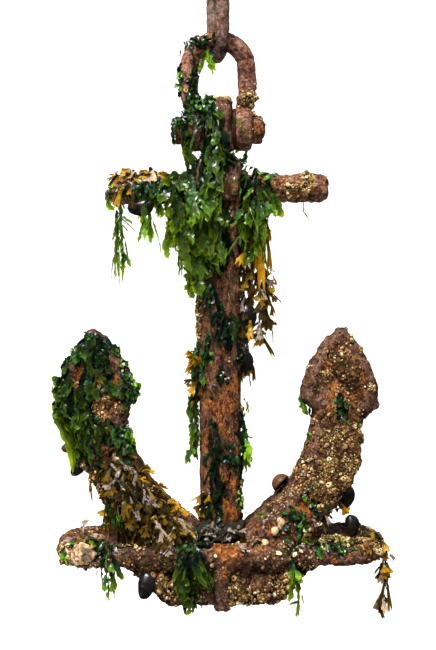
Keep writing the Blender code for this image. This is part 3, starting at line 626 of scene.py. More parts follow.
SKINS = {
    # The shade spots on the link paint shade where its front bar meets the back one.
    "chain_link": make_skin("chain_link", 1.8 * MM, 0.35, "iron_link",
                            shade_spots=[(at("chain_link", 0.4, 0.69, 0.18 + step / 25), 6.5 * MM, 2.6)
                                        for step in range(13)]),
    "shackle": make_skin("shackle", 2.2 * MM, 0.45, "iron_shackle", wear=12),
    "shackle_bolt": make_skin("shackle_bolt", 2.2 * MM, 0.5, "iron_fastener"),
    "shackle_nut": make_skin("shackle_nut", 1.5 * MM, 0.5, "iron_fastener"),
    "shank": make_skin("shank", 2.65 * MM, 1.0, "iron_shank",
                       [(at("shank", 0.6, 0, 0.3), 0.16, 0.25), (at("shank", 0.5, 0, 0.12), 0.06, 0.35),
                        (at("shank", 0.5, 0, 0.98), 0.06, -0.5)], (1, 1, 0.4), cap=0.75, wear=4),
    "stock": make_skin("stock", 2.4 * MM, 1.0, "iron_stock", [(at("stock", 0.8, 0.2, 0.7), 0.05, 0.3)]),
    "stock_key": make_skin("stock_key", 1.5 * MM, 0.4, "iron_fastener"),
    # The shade spots on the head paint shade on the crown under the lip.
    "head": make_skin("head", 2.95 * MM, 1.0, "iron_casting",
                      [(at("head", 0.53, 0, 0.23), 0.045, 0.8), (at("head", 0.64, 0.1, 0.3), 0.07, 0.25),
                       (at("head", 0.64, 0.0, 0.08), 0.08, -0.6), (at("head", 0.36, 0.0, 0.08), 0.08, -0.4)],
                      panels=True, wear=4,
                      shade_spots=[(at("head", across, 0.1, 0.065), 0.05, 2.2) for across in (0.29, 0.41, 0.62, 0.72)]),
    "silt_pocket_front": make_skin("silt_pocket_front", 1.5 * MM, 1.6, "packed_silt"),
    "silt_pocket_back": make_skin("silt_pocket_back", 1.5 * MM, 1.6, "packed_silt"),
    "crown_pin": make_skin("crown_pin", 3.2 * MM, 0.4, "iron_fastener"),
    "keeper_pin_left": make_skin("keeper_pin_left", 2.5 * MM, 0.5, "iron_fastener"),
    "keeper_pin_right": make_skin("keeper_pin_right", 2.5 * MM, 0.5, "iron_fastener"),
}


# ---------------------------------------------------------------- where things grow

SPREAD = 8 * MM         # how far growth may stand out, on top of a thirtieth of each side
ROOM_LOW, ROOM_HIGH = (Vector(corner) for corner in CAD_BOX)
SLACK = (ROOM_HIGH - ROOM_LOW) * 0.03 + Vector((SPREAD, SPREAD, SPREAD))
ROOM_LOW, ROOM_HIGH = ROOM_LOW - SLACK, ROOM_HIGH + SLACK


def indoors(place):
    """The place, brought back inside the room the anchor may take up."""
    return Vector([min(max(place[i], ROOM_LOW[i]), ROOM_HIGH[i]) for i in range(3)])


class Ground:
    """A solid surface: its nearest spot, and a way to keep other things outside it."""

    def __init__(self, skins):
        whole = bmesh.new()
        for skin in skins:
            whole.from_mesh(skin.data)
        self.tree = BVHTree.FromBMesh(whole)
        whole.free()

    def clear(self, place, clearance):
        """The nearest place that clears the surface, its normal if it pushed, and the way to the surface."""
        place = indoors(place)
        hit, normal, _, _ = self.tree.find_nearest(place)
        if (place - hit).dot(normal) < clearance:
            return hit + normal * clearance, normal, normal * -clearance
        return place, None, hit - place

    def nearest(self, place):
        hit, normal, _, distance = self.tree.find_nearest(place)
        return hit, normal, distance


GROUND = Ground(SKINS.values())


def triangles_of(mesh):
    mesh.calc_loop_triangles()
    corners = np.empty(len(mesh.loop_triangles) * 3, np.int32)
    mesh.loop_triangles.foreach_get("vertices", corners)
    places = np.empty(len(mesh.vertices) * 3, np.float32)
    mesh.vertices.foreach_get("co", places)
    return places.reshape(-1, 3)[corners.reshape(-1, 3)]


def spots_on(mesh, count, dice):
    """Random spots spread evenly over a mesh: (place, normal) pairs."""
    triangles = triangles_of(mesh)
    cross = np.cross(triangles[:, 1] - triangles[:, 0], triangles[:, 2] - triangles[:, 0])
    area = np.linalg.norm(cross, axis=1)
    picks = np.searchsorted(np.cumsum(area), np.array([dice.random() for _ in range(count)]) * area.sum())
    spots = []
    for pick in np.minimum(picks, len(triangles) - 1):
        u, v = dice.random(), dice.random()
        if u + v > 1:
            u, v = 1 - u, 1 - v
        a, b, c = triangles[pick]
        spots.append((Vector(a + (b - a) * u + (c - a) * v), Vector(cross[pick]).normalized()))
    return spots


def wobble(dice, reach):
    return Vector([dice.uniform(-reach, reach) for _ in range(3)])


# ---------------------------------------------------------------- barnacles and shells

def ring_faces(rings, sides, start=0):
    faces = []
    for ring in range(rings - 1):
        for side in range(sides):
            low, high = start + ring * sides, start + (ring + 1) * sides
            after = (side + 1) % sides
            faces.append((low + side, low + after, high + after, high + side))
    return faces


def turned_form(sides, rings, ribs):
    """Turned form closed at both ends: unit points, faces, and each point's rise and mouth depth."""
    points, rise, mouth = [], [], []
    for radius, height, depth in rings:
        for side in range(sides):
            angle = math.tau * side / sides
            rib = 1 + ribs * (1 if side % 2 else -1) * (1 - depth) * (1 - max(0.0, height))
            points.append((radius * rib * math.cos(angle), radius * rib * math.sin(angle), height))
            rise.append(max(0.0, height))
            mouth.append(depth)
    faces = ring_faces(len(rings), sides)
    faces.append(tuple(reversed(range(sides))))
    faces.append(tuple(range((len(rings) - 1) * sides, len(rings) * sides)))
    return np.array(points), face_table(faces), np.array(rise), np.array(mouth)


LARGE_BARNACLE = turned_form(10, ((1.1, -0.3, 0), (0.96, 0.3, 0), (0.6, 0.9, 0), (0.36, 1.0, 0.1), (0.22, 0.7, 1)), 0.1)
SMALL_BARNACLE = turned_form(6, ((1.1, -0.3, 0), (0.88, 0.5, 0), (0.5, 1.0, 0), (0.24, 0.8, 0.8)), 0.08)
TINY_BARNACLE = turned_form(5, ((1.1, -0.3, 0), (0.72, 0.85, 0), (0.26, 0.8, 0.8)), 0.0)
LIMPET = turned_form(18, ((1.05, -0.2, 0), (1.0, 0.05, 0), (0.86, 0.38, 0), (0.62, 0.7, 0), (0.34, 0.92, 0),
                          (0.1, 1.0, 0)), 0.05)


def frame_on(normal, spin):
    """Rotation that stands a form up along a normal, spun about it."""
    side = normal.orthogonal().normalized()
    turn = Matrix((side, normal.cross(side), normal)).transposed()
    return np.array(turn @ Matrix.Rotation(spin, 3, "Z"))


def uneven(points, dice, amount):
    """The same form, pressed out of round."""
    angle = np.arctan2(points[:, 1], points[:, 0])
    wave = amount * (np.sin(2 * angle + dice.uniform(0, 6)) + 0.7 * np.sin(3 * angle + dice.uniform(0, 6)))
    return points * np.stack([1 + wave, 1 + wave, np.ones_like(wave)], axis=1)


def add_barnacle(heap, place, normal, radius, dice, stain=0.0):
    large = radius > 2.4 * MM
    small = SMALL_BARNACLE if radius > 1.4 * MM else TINY_BARNACLE
    form, table, rise, mouth = LARGE_BARNACLE if large else small
    lean = (normal + wobble(dice, 0.4)).normalized()
    size = np.array((radius * dice.uniform(0.85, 1.15), radius * dice.uniform(0.85, 1.15),
                     radius * dice.uniform(0.6, 1.2)))
    points = (uneven(form, dice, 0.09) * size) @ frame_on(lean, dice.uniform(0, math.tau)).T + np.array(place)
    # stain darkens the cone; the stain given to the crown and rib crusts is painted shade under the lip
    tone = dice.gauss(0.7 if large else 0.55, 0.14 if large else 0.24) - stain
    heap.add(points, table, tone=min(1.0, max(0.0, tone)), rise=rise, mouth=mouth)


class Crowd:
    """Keeps newcomers from standing on top of those already there."""

    def __init__(self, cell):
        self.cell, self.taken = cell, {}

    def admits(self, place, reach):
        key = tuple(int(c // self.cell) for c in place)
        for dx in (-1, 0, 1):
            for dy in (-1, 0, 1):
                for dz in (-1, 0, 1):
                    for other, other_reach in self.taken.get((key[0] + dx, key[1] + dy, key[2] + dz), ()):
                        if (place - other).length < reach + other_reach:
                            return False
        self.taken.setdefault(key, []).append((place.copy(), reach))
        return True


def lumpy(node, voxel, height, slot, tone):
    """The node's own shape with a lumpy surface, in place of the node."""
    mesh = remeshed(node, voxel)
    places, normals = vertex_arrays(mesh)
    lumps = []
    for place in places:
        point = Vector(place)
        lump = noise.voronoi(point * 170)[0][0]
        swell = 0.9 * noise.noise(point * 60)
        lumps.append((0.5 - 1.2 * lump + swell + 0.6 * noise.fractal(point * 260, 0.6, 2.0, 3)) * height)
    lumps = np.array(lumps, np.float32)
    places += normals * lumps[:, None]
    mesh.vertices.foreach_set("co", places.ravel())
    # painted shade: the dips of the crust get a lower tone and a lower rise, so they are painted darker
    paint(mesh, "tone", np.clip(tone + lumps / height * 0.3, 0, 1))
    paint(mesh, "rise", np.clip(0.3 + lumps / height * 0.5, 0, 1))
    mesh.shade_smooth()
    return settle(node + "_base", mesh, slot, BODY_OF[node], [node])


SIZES = ((3.2, 5.4), (1.8, 2.6), (0.9, 1.5))        # barnacle radii in millimetres: large, middling, tiny


def make_crust(node, numbers, spread, tone=0.15, stain=0.0):
    """A lumpy crust in place of its node, thick with barnacles that spill on to the iron round it."""
    dice = random.Random(node)
    base = lumpy(node, 1.9 * MM, 2.6 * MM, "barnacle_crust", tone)
    pad = Ground([base])
    heap, crowd = Heap(), Crowd(11 * MM)
    for number, (low, high) in zip(numbers, SIZES):
        for place, normal in spots_on(base.data, number, dice):
            if dice.random() < 0.45:
                start = place + Vector([dice.gauss(0, spread / 2) for _ in range(3)])
                place, normal, _ = GROUND.nearest(start)
                hit, _, distance = pad.nearest(place)
                if distance > spread * dice.random():
                    continue
            elif GROUND.nearest(place)[2] < 0.6 * MM:
                continue
            radius = dice.uniform(low, high) * MM
            barren = noise.noise(place * 55) < -0.2
            if barren and (radius > 1.6 * MM or dice.random() < 0.4):
                continue
            if crowd.admits(place, radius * 0.68):
                add_barnacle(heap, place, normal, radius, dice, stain + (0.35 if barren else 0.0))
    return heap.piece(node + "_cones", "barnacle_crust", BODY_OF[node])


# Columns: node; numbers of large, middling and tiny barnacles; spread; base tone; stain. The crown and rib crusts get
# the lowest base tone and a stain: painted shade under the lip.
CRUSTS = (
    ("barnacles_shackle", (8, 36, 420), 8 * MM),
    ("barnacles_stock", (24, 110, 1100), 11 * MM),
    ("barnacles_shank", (16, 80, 900), 8 * MM),
    ("barnacles_fluke_right", (22, 60, 420), 16 * MM, 0.0),
    ("barnacles_arm_right", (60, 420, 5200), 18 * MM),
    ("barnacles_palm_right", (46, 240, 2200), 14 * MM),
    ("barnacles_palm_left", (24, 160, 1800), 15 * MM),
    ("barnacles_crown_left", (22, 90, 900), 16 * MM, 0.0, 0.12),
    ("barnacles_rib_left", (12, 50, 500), 10 * MM, 0.0, 0.12),
    ("barnacles_rib_right", (12, 50, 500), 10 * MM, 0.0, 0.12),
    ("barnacles_crown_right", (26, 70, 700), 16 * MM, 0.0, 0.12),
)
for crust in CRUSTS:
    make_crust(*crust)


def make_strays(name, skin_nodes, tries, cover):
    """Loose groups of barnacles all over some of the iron."""
    dice = random.Random(name)
    heap, crowd = Heap(), Crowd(11 * MM)
    for node in skin_nodes:
        for place, normal in spots_on(SKINS[node].data, tries // len(skin_nodes), dice):
            patch = noise.noise(place * 30 + Vector((11, 3, 8))) + 0.5 * noise.noise(place * 85)
            if patch < cover:
                continue
            low, high = SIZES[0 if dice.random() < 0.03 else 1 if dice.random() < 0.2 else 2]
            radius = dice.uniform(low, high) * MM
            if crowd.admits(place, radius * 0.72):
                add_barnacle(heap, place, normal, radius, dice)
    return heap.piece(name, "barnacle_crust", BODY_OF[skin_nodes[0]])


make_strays("barnacles_loose_head", ["head"], 15000, 0.27)
make_strays("barnacles_loose_shank", ["shank", "stock"], 4500, 0.4)
make_strays("barnacles_loose_shackle", ["shackle"], 900, 0.45)


def make_clusters(name, node, clusters):
    """Tight groups of barnacles on one node. Each: its place, number, spread and sizes in millimetres."""
    dice = random.Random(name)
    heap, crowd = Heap(), Crowd(11 * MM)
    for (across, through, up), count, spread, (low, high) in clusters:
        middle = at(node, across, through, up)
        for _ in range(count):
            start = middle + Vector([dice.gauss(0, spread * MM) for _ in range(3)])
            place, normal, _ = GROUND.nearest(start)
            radius = dice.triangular(low, high, low) * MM
            if crowd.admits(place, radius * 0.66):
                add_barnacle(heap, place, normal, radius, dice)
    return heap.piece(name, "barnacle_crust", BODY_OF[node])


make_clusters("clusters_shackle", "shackle", (
    ((0.74, 0.27, 0.42), 30, 4, (1.6, 3.6)), ((0.99, 0.34, 0.43), 26, 5, (1.2, 2.6)),
    ((1.0, 0.31, 0.31), 16, 4, (1.0, 2.2)), ((1.03, 0.38, 0.26), 14, 4, (1.2, 2.6)),
    ((0.9, 0.1, 0.1), 14, 5, (0.9, 1.8)), ((0.99, 0.6, 0.55), 30, 8, (1.0, 2.4)),
))
make_clusters("clusters_stock", "stock", (
    ((0.89, 0.31, 0.94), 40, 5, (1.4, 3.8)), ((0.9, 0.06, 0.42), 30, 6, (1.0, 2.8)),
    ((0.82, 0.06, 0.36), 40, 7, (0.9, 2.6)), ((0.7, 0.95, 0.5), 60, 12, (0.9, 2.6)),
    ((0.1, 0.9, 0.5), 50, 12, (0.9, 2.6)),
))
make_clusters("clusters_shank", "shank", (
    ((-0.02, 0.3, 0.61), 20, 5, (1.2, 3.0)), ((0.03, 0.24, 0.57), 24, 6, (1.2, 3.2)),
    ((-0.03, 0.3, 0.514), 20, 6, (1.0, 2.6)), ((0.3, 1.0, 0.3), 70, 16, (0.9, 2.8)),
    ((0.7, 1.0, 0.7), 60, 16, (0.9, 2.6)),
))
make_clusters("clusters_head", "head", (
    ((0.14, 0.37, 0.748), 12, 4, (2.4, 4.6)), ((0.15, 0.37, 0.715), 40, 8, (1.2, 3.2)),
    ((0.12, 0.37, 0.7), 60, 9, (0.9, 2.2)), ((0.19, 0.37, 0.729), 18, 5, (1.4, 3.2)),
    ((0.05, 0.37, 0.82), 30, 8, (1.0, 2.8)), ((0.1, 0.34, 0.606), 20, 6, (1.2, 3.0)),
    ((0.09, 0.31, 0.47), 60, 9, (1.0, 3.0)), ((0.12, 0.31, 0.45), 50, 9, (0.9, 2.6)),
    ((0.12, 0.31, 0.4), 50, 9, (1.0, 3.0)), ((0.16, 0.27, 0.435), 50, 9, (0.9, 2.8)),
    ((0.21, 0.27, 0.47), 30, 9, (0.9, 2.6)), ((0.33, 0.21, 0.38), 40, 9, (1.0, 3.0)),
    ((0.39, 0.21, 0.38), 40, 8, (1.0, 3.2)), ((0.37, 0.18, 0.314), 30, 9, (0.9, 2.6)),
    ((0.88, 0.4, 0.91), 50, 9, (0.9, 2.4)), ((0.85, 0.38, 0.84), 40, 9, (0.9, 2.4)),
    ((0.89, 0.38, 0.79), 40, 10, (0.9, 2.6)), ((0.82, 0.38, 0.79), 24, 7, (0.9, 2.2)),
    ((0.86, 0.38, 0.755), 40, 8, (1.0, 3.2)),
    ((0.65, 0.24, 0.362), 40, 6, (0.9, 2.4)), ((0.68, 0.27, 0.4), 50, 7, (0.9, 2.4)),
    ((0.73, 0.34, 0.48), 50, 8, (0.9, 2.6)), ((0.75, 0.31, 0.484), 60, 9, (1.2, 3.4)),
    ((0.78, 0.32, 0.54), 60, 9, (1.0, 3.0)), ((0.74, 0.27, 0.41), 60, 9, (1.2, 3.4)),
    ((0.93, 0.37, 0.486), 46, 6, (1.6, 4.2)),
    ((0.91, 0.18, 0.242), 90, 9, (1.0, 3.4)), ((0.94, 0.21, 0.22), 90, 8, (1.0, 3.2)),
    ((0.96, 0.27, 0.187), 70, 7, (1.0, 3.0)), ((0.88, 0.18, 0.256), 60, 8, (0.9, 2.6)),
    ((0.75, 0.11, 0.167), 60, 9, (0.9, 2.8)), ((0.87, 0.21, 0.144), 30, 8, (0.9, 2.2)),
    ((0.03, 0.18, 0.224), 40, 7, (1.0, 3.0)), ((0.11, 0.12, 0.2), 24, 6, (1.0, 2.8)),
    ((0.03, 0.24, 0.205), 60, 8, (1.0, 3.0)), ((0.12, 0.11, 0.17), 50, 9, (0.9, 2.6)),
    ((0.23, 0.08, 0.181), 30, 9, (0.9, 2.4)), ((0.32, 0.08, 0.163), 30, 9, (0.9, 2.4)),
    ((0.34, 0.1, 0.114), 70, 9, (0.9, 3.0)), ((0.37, 0.1, 0.064), 70, 9, (0.9, 3.0)),
    ((0.44, 0.1, 0.05), 60, 8, (0.9, 3.0)), ((0.45, 0.1, 0.107), 50, 8, (0.9, 2.8)),
    ((0.52, 0.1, 0.072), 60, 7, (1.0, 3.4)), ((0.54, 0.1, 0.036), 60, 7, (1.0, 3.4)),
    ((0.59, 0.07, 0.06), 30, 4, (2.0, 4.0)), ((0.65, 0.1, 0.089), 60, 7, (0.9, 2.6)),
    ((0.58, 0.1, 0.036), 50, 8, (0.9, 2.6)), ((0.62, 0.05, 0.199), 30, 8, (0.9, 2.2)),
    ((0.69, 0.05, 0.214), 40, 8, (0.9, 2.8)), ((0.68, 0.11, 0.281), 30, 6, (1.6, 4.2)),
    ((0.3, 0.9, 0.1), 80, 22, (0.9, 3.2)), ((0.7, 0.9, 0.1), 80, 22, (0.9, 3.2)),
    ((0.1, 0.6, 0.8), 60, 18, (0.9, 3.0)), ((0.9, 0.6, 0.6), 80, 20, (0.9, 3.2)),
    ((0.2, 0.75, 0.4), 80, 20, (0.9, 3.2)), ((0.1, 0.8, 0.2), 60, 16, (0.9, 3.2)),
    ((0.9, 0.8, 0.2), 60, 16, (0.9, 3.2)),
))


KNOB = turned_form(14, ((0.2, -0.95, 0), (0.62, -0.75, 0), (0.92, -0.35, 0), (1.0, 0.05, 0), (0.9, 0.42, 0),
                        (0.62, 0.76, 0), (0.2, 0.97, 0)), 0.0)


def make_knobs(name, node, knobs):
    """Balls of barnacles grown on barnacles. Each: its place, radius in millimetres and how tall it is."""
    dice = random.Random(name)
    heap, crowd = Heap(), Crowd(11 * MM)
    form, table, _, _ = KNOB
    skin = Ground([SKINS[node]])
    for (across, through, up), radius, tall in knobs:
        hit, normal, _ = skin.nearest(at(node, across, through, up))
        middle = hit + normal * radius * 0.35 * MM
        size = Vector((radius, radius, radius * tall)) * MM
        turn = frame_on(UP, dice.uniform(0, math.tau))
        heap.add(uneven(form, dice, 0.12) * np.array(size) * 0.9 @ turn.T + np.array(middle), table, tone=0.2, rise=0.5,
                 mouth=0.0)
        for _ in range(int(radius * radius * tall * 1.45)):
            way = Vector([dice.gauss(0, 1) for _ in range(3)]).normalized()
            place = middle + Vector([way[i] * size[i] for i in range(3)]) * 0.85
            hit, out, _ = GROUND.nearest(place)
            spot = dice.triangular(1.0, 3.4, 1.4) * MM
            if (place - hit).dot(out) > 0 and crowd.admits(place, spot * 0.6):
                add_barnacle(heap, place, way, spot, dice)
    return heap.piece(name, "barnacle_crust", BODY_OF[node])


make_knobs("knobs_shackle", "shackle", (
    ((0.79, 0.2, 0.41), 5, 1.2), ((1.01, 0.34, 0.44), 4.5, 1.4), ((0.97, 0.3, 0.36), 5, 1.0),
    ((0.99, 0.4, 0.3), 4, 1.0),
))
make_knobs("knobs_shank", "shank", (
    ((-0.02, 0.3, 0.625), 4.5, 1.3), ((-0.01, 0.28, 0.575), 5, 1.5), ((0.0, 0.3, 0.52), 4, 1.2),
    ((1.02, 0.3, 0.2), 3.5, 1.6), ((0.97, 0.34, 0.35), 3.5, 1.4),
))
make_knobs("knobs_stock", "stock", (
    ((0.9, 0.3, 0.98), 5, 0.8), ((0.93, 0.1, 0.5), 4.5, 1.0), ((0.03, 0.4, 0.2), 4.5, 1.2),
))
make_knobs("knobs_head", "head", (
    ((0.945, 0.37, 0.5), 10, 1.7), ((0.93, 0.34, 0.585), 7, 1.5), ((0.9, 0.37, 0.64), 5, 1.4),
    ((0.9, 0.34, 0.42), 7, 1.3), ((0.845, 0.25, 0.47), 7, 1.0), ((0.81, 0.24, 0.41), 7, 0.9),
    ((0.79, 0.22, 0.35), 6, 1.0), ((0.86, 0.27, 0.53), 8, 1.0), ((0.82, 0.3, 0.58), 6, 1.2),
    ((0.905, 0.35, 0.965), 5, 1.0), ((0.93, 0.35, 0.92), 4.5, 1.4), ((0.965, 0.33, 0.78), 5, 1.3),
    ((0.82, 0.3, 0.84), 5, 1.0), ((0.77, 0.35, 0.66), 4, 1.2), ((0.8, 0.32, 0.69), 6, 0.8),
    ((0.05, 0.36, 0.48), 6, 1.3), ((0.09, 0.3, 0.44), 6, 1.0), ((0.155, 0.33, 0.74), 7, 0.9),
    ((0.2, 0.35, 0.71), 5, 1.0), ((0.03, 0.2, 0.17), 6, 0.9),
    ((0.965, 0.16, 0.2), 7, 0.8), ((0.93, 0.12, 0.22), 8, 0.7), ((0.88, 0.1, 0.235), 6, 0.6),
    ((0.99, 0.25, 0.17), 5, 1.0), ((0.62, 0.08, 0.05), 8, 1.0), ((0.36, 0.08, 0.09), 6, 0.9),
    ((0.4, 0.08, 0.03), 6, 0.9), ((0.53, 0.08, 0.03), 5, 1.2), ((0.7, 0.1, 0.08), 5, 1.0),
    ((0.17, 0.06, 0.15), 5, 1.2), ((0.6, 0.3, 0.4), 5, 0.8), ((0.3, 0.25, 0.43), 6, 0.7),
))


def make_gap_shade(name, side):
    """A near-black disc of painted shade in the gap between a lug of the shackle and the shank's head, round the bolt.
    """
    low, high = (Vector(corner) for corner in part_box("shackle_bolt"))
    middle = Vector((side * GAP_SHADE_PLACE, (low.y + high.y) / 2, (low.z + high.z) / 2))
    form, table, _, _ = turned_form(40, ((0.9, -1.0, 0), (1.0, -0.5, 0), (1.0, 0.5, 0), (0.9, 1.0, 0)), 0.01)
    size = np.array((GAP_SHADE_RADIUS, GAP_SHADE_RADIUS, GAP_SHADE_HALF_DEPTH))
    heap = Heap()
    heap.add(uneven(form, random.Random(name), 0.03) * size @ frame_on(Vector((1, 0, 0)), 0).T + np.array(middle), table,
             hollow=0.9)
    return heap.piece(name, "iron_fastener", BODY_OF["shackle"])


GAP_SHADE_PLACE = 23.7 * MM
GAP_SHADE_RADIUS = 30.5 * MM
GAP_SHADE_HALF_DEPTH = 2.2 * MM
# Near-black discs of painted shade in the gaps beside both lugs.
make_gap_shade("grime_left", -1)
make_gap_shade("grime_right", 1)


def make_limpets():
    """Three limpets where the arm meets the crown."""
    dice = random.Random("limpets")
    heap = Heap()
    form, table, rise, _ = LIMPET
    for across, up, radius in ((0.12, 0.12, 6.4), (0.62, 0.42, 7.4), (0.86, 0.82, 7.0)):
        place, normal, _ = GROUND.nearest(at("limpets_arm_root", across, 0, up))
        size = np.array((1.0, dice.uniform(0.75, 0.95), 0.55)) * radius * MM
        points = (uneven(form, dice, 0.1) * size) @ frame_on(normal, dice.uniform(0, 6)).T + np.array(place)
        heap.add(points, table, tone=0.52, growth=1 - rise)
    return heap.piece("limpets", "pale_shell", BODY_OF["limpets_arm_root"], ["limpets_arm_root"])


make_limpets()


def make_oyster(node):
    """Old oyster on the palm: uneven, ridged by its growth and stained."""
    mesh = remeshed(node, 1.2 * MM)
    places, normals = vertex_arrays(mesh)
    away = np.linalg.norm(places - np.array(at(node, 0.1, 0.5, 0.0)), axis=1)
    away /= away.max()
    lumps = np.array([noise.fractal(Vector(place) * 90, 0.6, 2.0, 3) for place in places])
    places += normals * ((lumps * 2.4 + np.sin(away * 45 + lumps * 3) * 0.9) * MM)[:, None].astype(np.float32)
    mesh.vertices.foreach_set("co", places.ravel())
    paint(mesh, "growth", away)
    paint(mesh, "tone", np.clip(0.4 + lumps * 0.8 - away * 0.15, 0, 1))
    mesh.shade_smooth()
    return settle(node + "_valve", mesh, "pale_shell", BODY_OF[node], [node])


make_oyster("shell_palm_left")


HALF_SHELL = turned_form(28, ((0.05, 0.88, 1), (0.3, 0.84, 1), (0.58, 0.66, 1), (0.8, 0.38, 1), (0.95, 0.03, 1),
                              (1.0, 0.05, 0), (0.97, 0.25, 0), (0.88, 0.48, 0), (0.68, 0.76, 0), (0.38, 0.95, 0),
                              (0.06, 1.0, 0)), 0.0)


def make_open_shell(node):
    """The brown half shell stuck to the arm: domed outside, dark inside."""
    form, table, rise, inside = HALF_SHELL
    low, high = (Vector(corner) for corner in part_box(node))
    middle = (low + high) / 2
    hit, normal, _ = GROUND.nearest(middle)
    size = np.array((0.52, 0.5, 0.5)) * max(high - low)
    axis = (normal - FRONT * 0.35).normalized()
    points = uneven(form, random.Random(node), 0.03) * size @ frame_on(axis, 0.4).T + np.array(hit + normal * 4 * MM)
    heap = Heap()
    heap.add(points, table, growth=1 - rise, brown=1 - inside)
    return heap.piece(node + "_valve", "mussel_shell", BODY_OF[node], [node])


make_open_shell("shell_arm_right")


def add_chip(heap, place, normal, size, paleness, dice):
    """A broken, curved bit of shell lying on the surface."""
    bend, long = dice.uniform(0.1, 0.45), dice.uniform(0.9, 1.7)
    points = []
    for row in range(4):
        for column in range(4):
            u, v = column / 1.5 - 1, row / 1.5 - 1
            corner = 0.72 if abs(u * v) > 0.9 else 1.0
            points.append((u * corner * long, v * corner, 0.5 - bend * (u * u + v * v)))
    points = np.array(points) * size * np.array([dice.uniform(0.8, 1.1), dice.uniform(0.6, 1.0), 1.0])
    lean = (normal + wobble(dice, 0.8)).normalized()
    points = points @ frame_on(lean, dice.uniform(0, 6)).T + np.array(place)
    table = face_table(grid_faces(4, 4))
    heap.add(points, table, tone=dice.uniform(0, 1) ** 2 * paleness, growth=np.linspace(0, 1, 16))


def grid_faces(rows, columns):
    return [(r * columns + c, r * columns + c + 1, (r + 1) * columns + c + 1, (r + 1) * columns + c)
            for r in range(rows - 1) for c in range(columns - 1)]


def make_chips(name, places, count, spread, paleness=1.0):
    """Bits of broken shell lodged round some places on the head."""
    dice = random.Random(name)
    heap = Heap()
    for _ in range(count):
        start = dice.choice(places) + Vector([dice.gauss(0, spread) for _ in range(3)])
        hit, normal, _ = GROUND.nearest(start)
        add_chip(heap, hit + normal * 0.8 * MM, normal, dice.uniform(1.4, 3.6) * MM, paleness, dice)
    return heap.piece(name, "pale_shell", BODY_OF["head"])


make_chips("chips_pocket", [at("silt_pocket_front", x, 0.3, 0.8) for x in (0.1, 0.3, 0.5, 0.7, 0.9)], 18, 6 * MM, 0.06)
make_chips("chips_palm_right", [at("weed_palm_right", x, 0.7, 0.8) for x in (0.1, 0.4, 0.7)], 110, 14 * MM)
make_chips("chips_palm_left", [at("barnacles_palm_left", x, 0.3, 0.5) for x in (0.2, 0.8)], 70, 13 * MM)
make_chips("chips_arm_left", [at("fucus_arm_left", x, 0.4, z) for x, z in ((0.1, 0.5), (0.2, 0.8), (0.4, 0.4))],
           90, 14 * MM)
make_chips("chips_crown", [at("crown_pin", x, 0, 0) for x in (0.1, 0.35, 0.65, 0.9)], 70, 16 * MM)


MUSSEL_TILT = {
    "mussel_shank_upper": 4, "mussel_shank_lower": -6, "mussel_stock": 80, "mussel_arm_left_low": 28,
    "mussel_arm_left_high": 70, "mussel_crown": 12, "mussel_arm_right": 14, "mussel_palm_right": -8,
}
SWELL = ((0.0, 0.0), (0.04, 0.36), (0.12, 0.58), (0.28, 0.82), (0.5, 1.0), (0.7, 0.96), (0.86, 0.74), (0.95, 0.44),
         (1.0, 0.0))    # fullness of a mussel along its length, beak first


def make_mussel(node):
    """Closed mussel in place of its node: pointed beak, straight belly, rounded end, two valves."""
    dice = random.Random(node)
    low, high = (Vector(c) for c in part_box(node))
    length = max(high.x - low.x, high.z - low.z) * 1.05
    rings, sides = 18, 24
    points, growth = [], []
    for i in range(rings + 1):
        s = i / rings
        full = np.interp(s, *zip(*SWELL))
        for j in range(sides):
            angle = math.tau * j / sides
            across = math.cos(angle)
            x = across * full * (0.4 if across > 0 else 0.27)
            y = 0.24 * full * (1 - abs(across) ** 2.2) * (1 if math.sin(angle) >= 0 else -1)
            points.append((x, y, s - 0.5))
            growth.append(math.hypot(s, x * 1.4))
    turn = Matrix.Rotation(math.radians(MUSSEL_TILT[node]), 3, "Y") @ Matrix.Rotation(dice.uniform(-0.5, 0.5), 3, "Z")
    heap = Heap()
    heap.add(np.array(points) * length @ np.array(turn).T + np.array((low + high) / 2),
             face_table(ring_faces(rings + 1, sides)), growth=growth,
             brown=0.8 if node == "mussel_arm_left_high" else 0.0)
    return heap.piece(node + "_valves", "mussel_shell", BODY_OF[node], [node])


for mussel_node in MUSSEL_TILT:
    make_mussel(mussel_node)


# ---------------------------------------------------------------- hanging things

CLING_REACH = 26 * MM       # wet growth this near the iron is drawn on to it
FREE_FROM, FREE_AT = 4 * MM, 14 * MM    # light starts to come through this far from the iron, and does fully


def hang(root, heading, length, rows, weight, wander, clearance, dice, cling=0.0):
    """Middle line of a hanging thing: it leaves along the heading, falls, and lies on or slides off the iron."""
    step = length / rows
    seed = Vector((dice.uniform(0, 50), dice.uniform(0, 50), dice.uniform(0, 50)))
    drift = wobble(dice, wander * 0.6 * min(1.0, 30 * MM / length))
    place, way = root.copy(), heading.normalized()
    line, ways, free = [place.copy()], [way.copy()], [0.0]
    for row in range(rows):
        sway = noise.noise_vector(seed + Vector((0, 0, (row + 1) * step / (16 * MM)))) * wander * 1.4
        way = (way + (DOWN * weight + drift + sway) * step / (14 * MM)).normalized()
        place, normal, inward = GROUND.clear(place + way * step, clearance)
        if normal is not None:
            if way.dot(normal) < 0:
                way = (way - normal * way.dot(normal) * 0.9).normalized()
        elif cling and inward.length < CLING_REACH:
            place += Vector((inward.x, inward.y, 0)) * cling
        line.append(place.copy())
        ways.append(way.copy())
        free.append(min(1.0, max(0.0, (inward.length - FREE_FROM) / (FREE_AT - FREE_FROM))))
    return line, ways, free


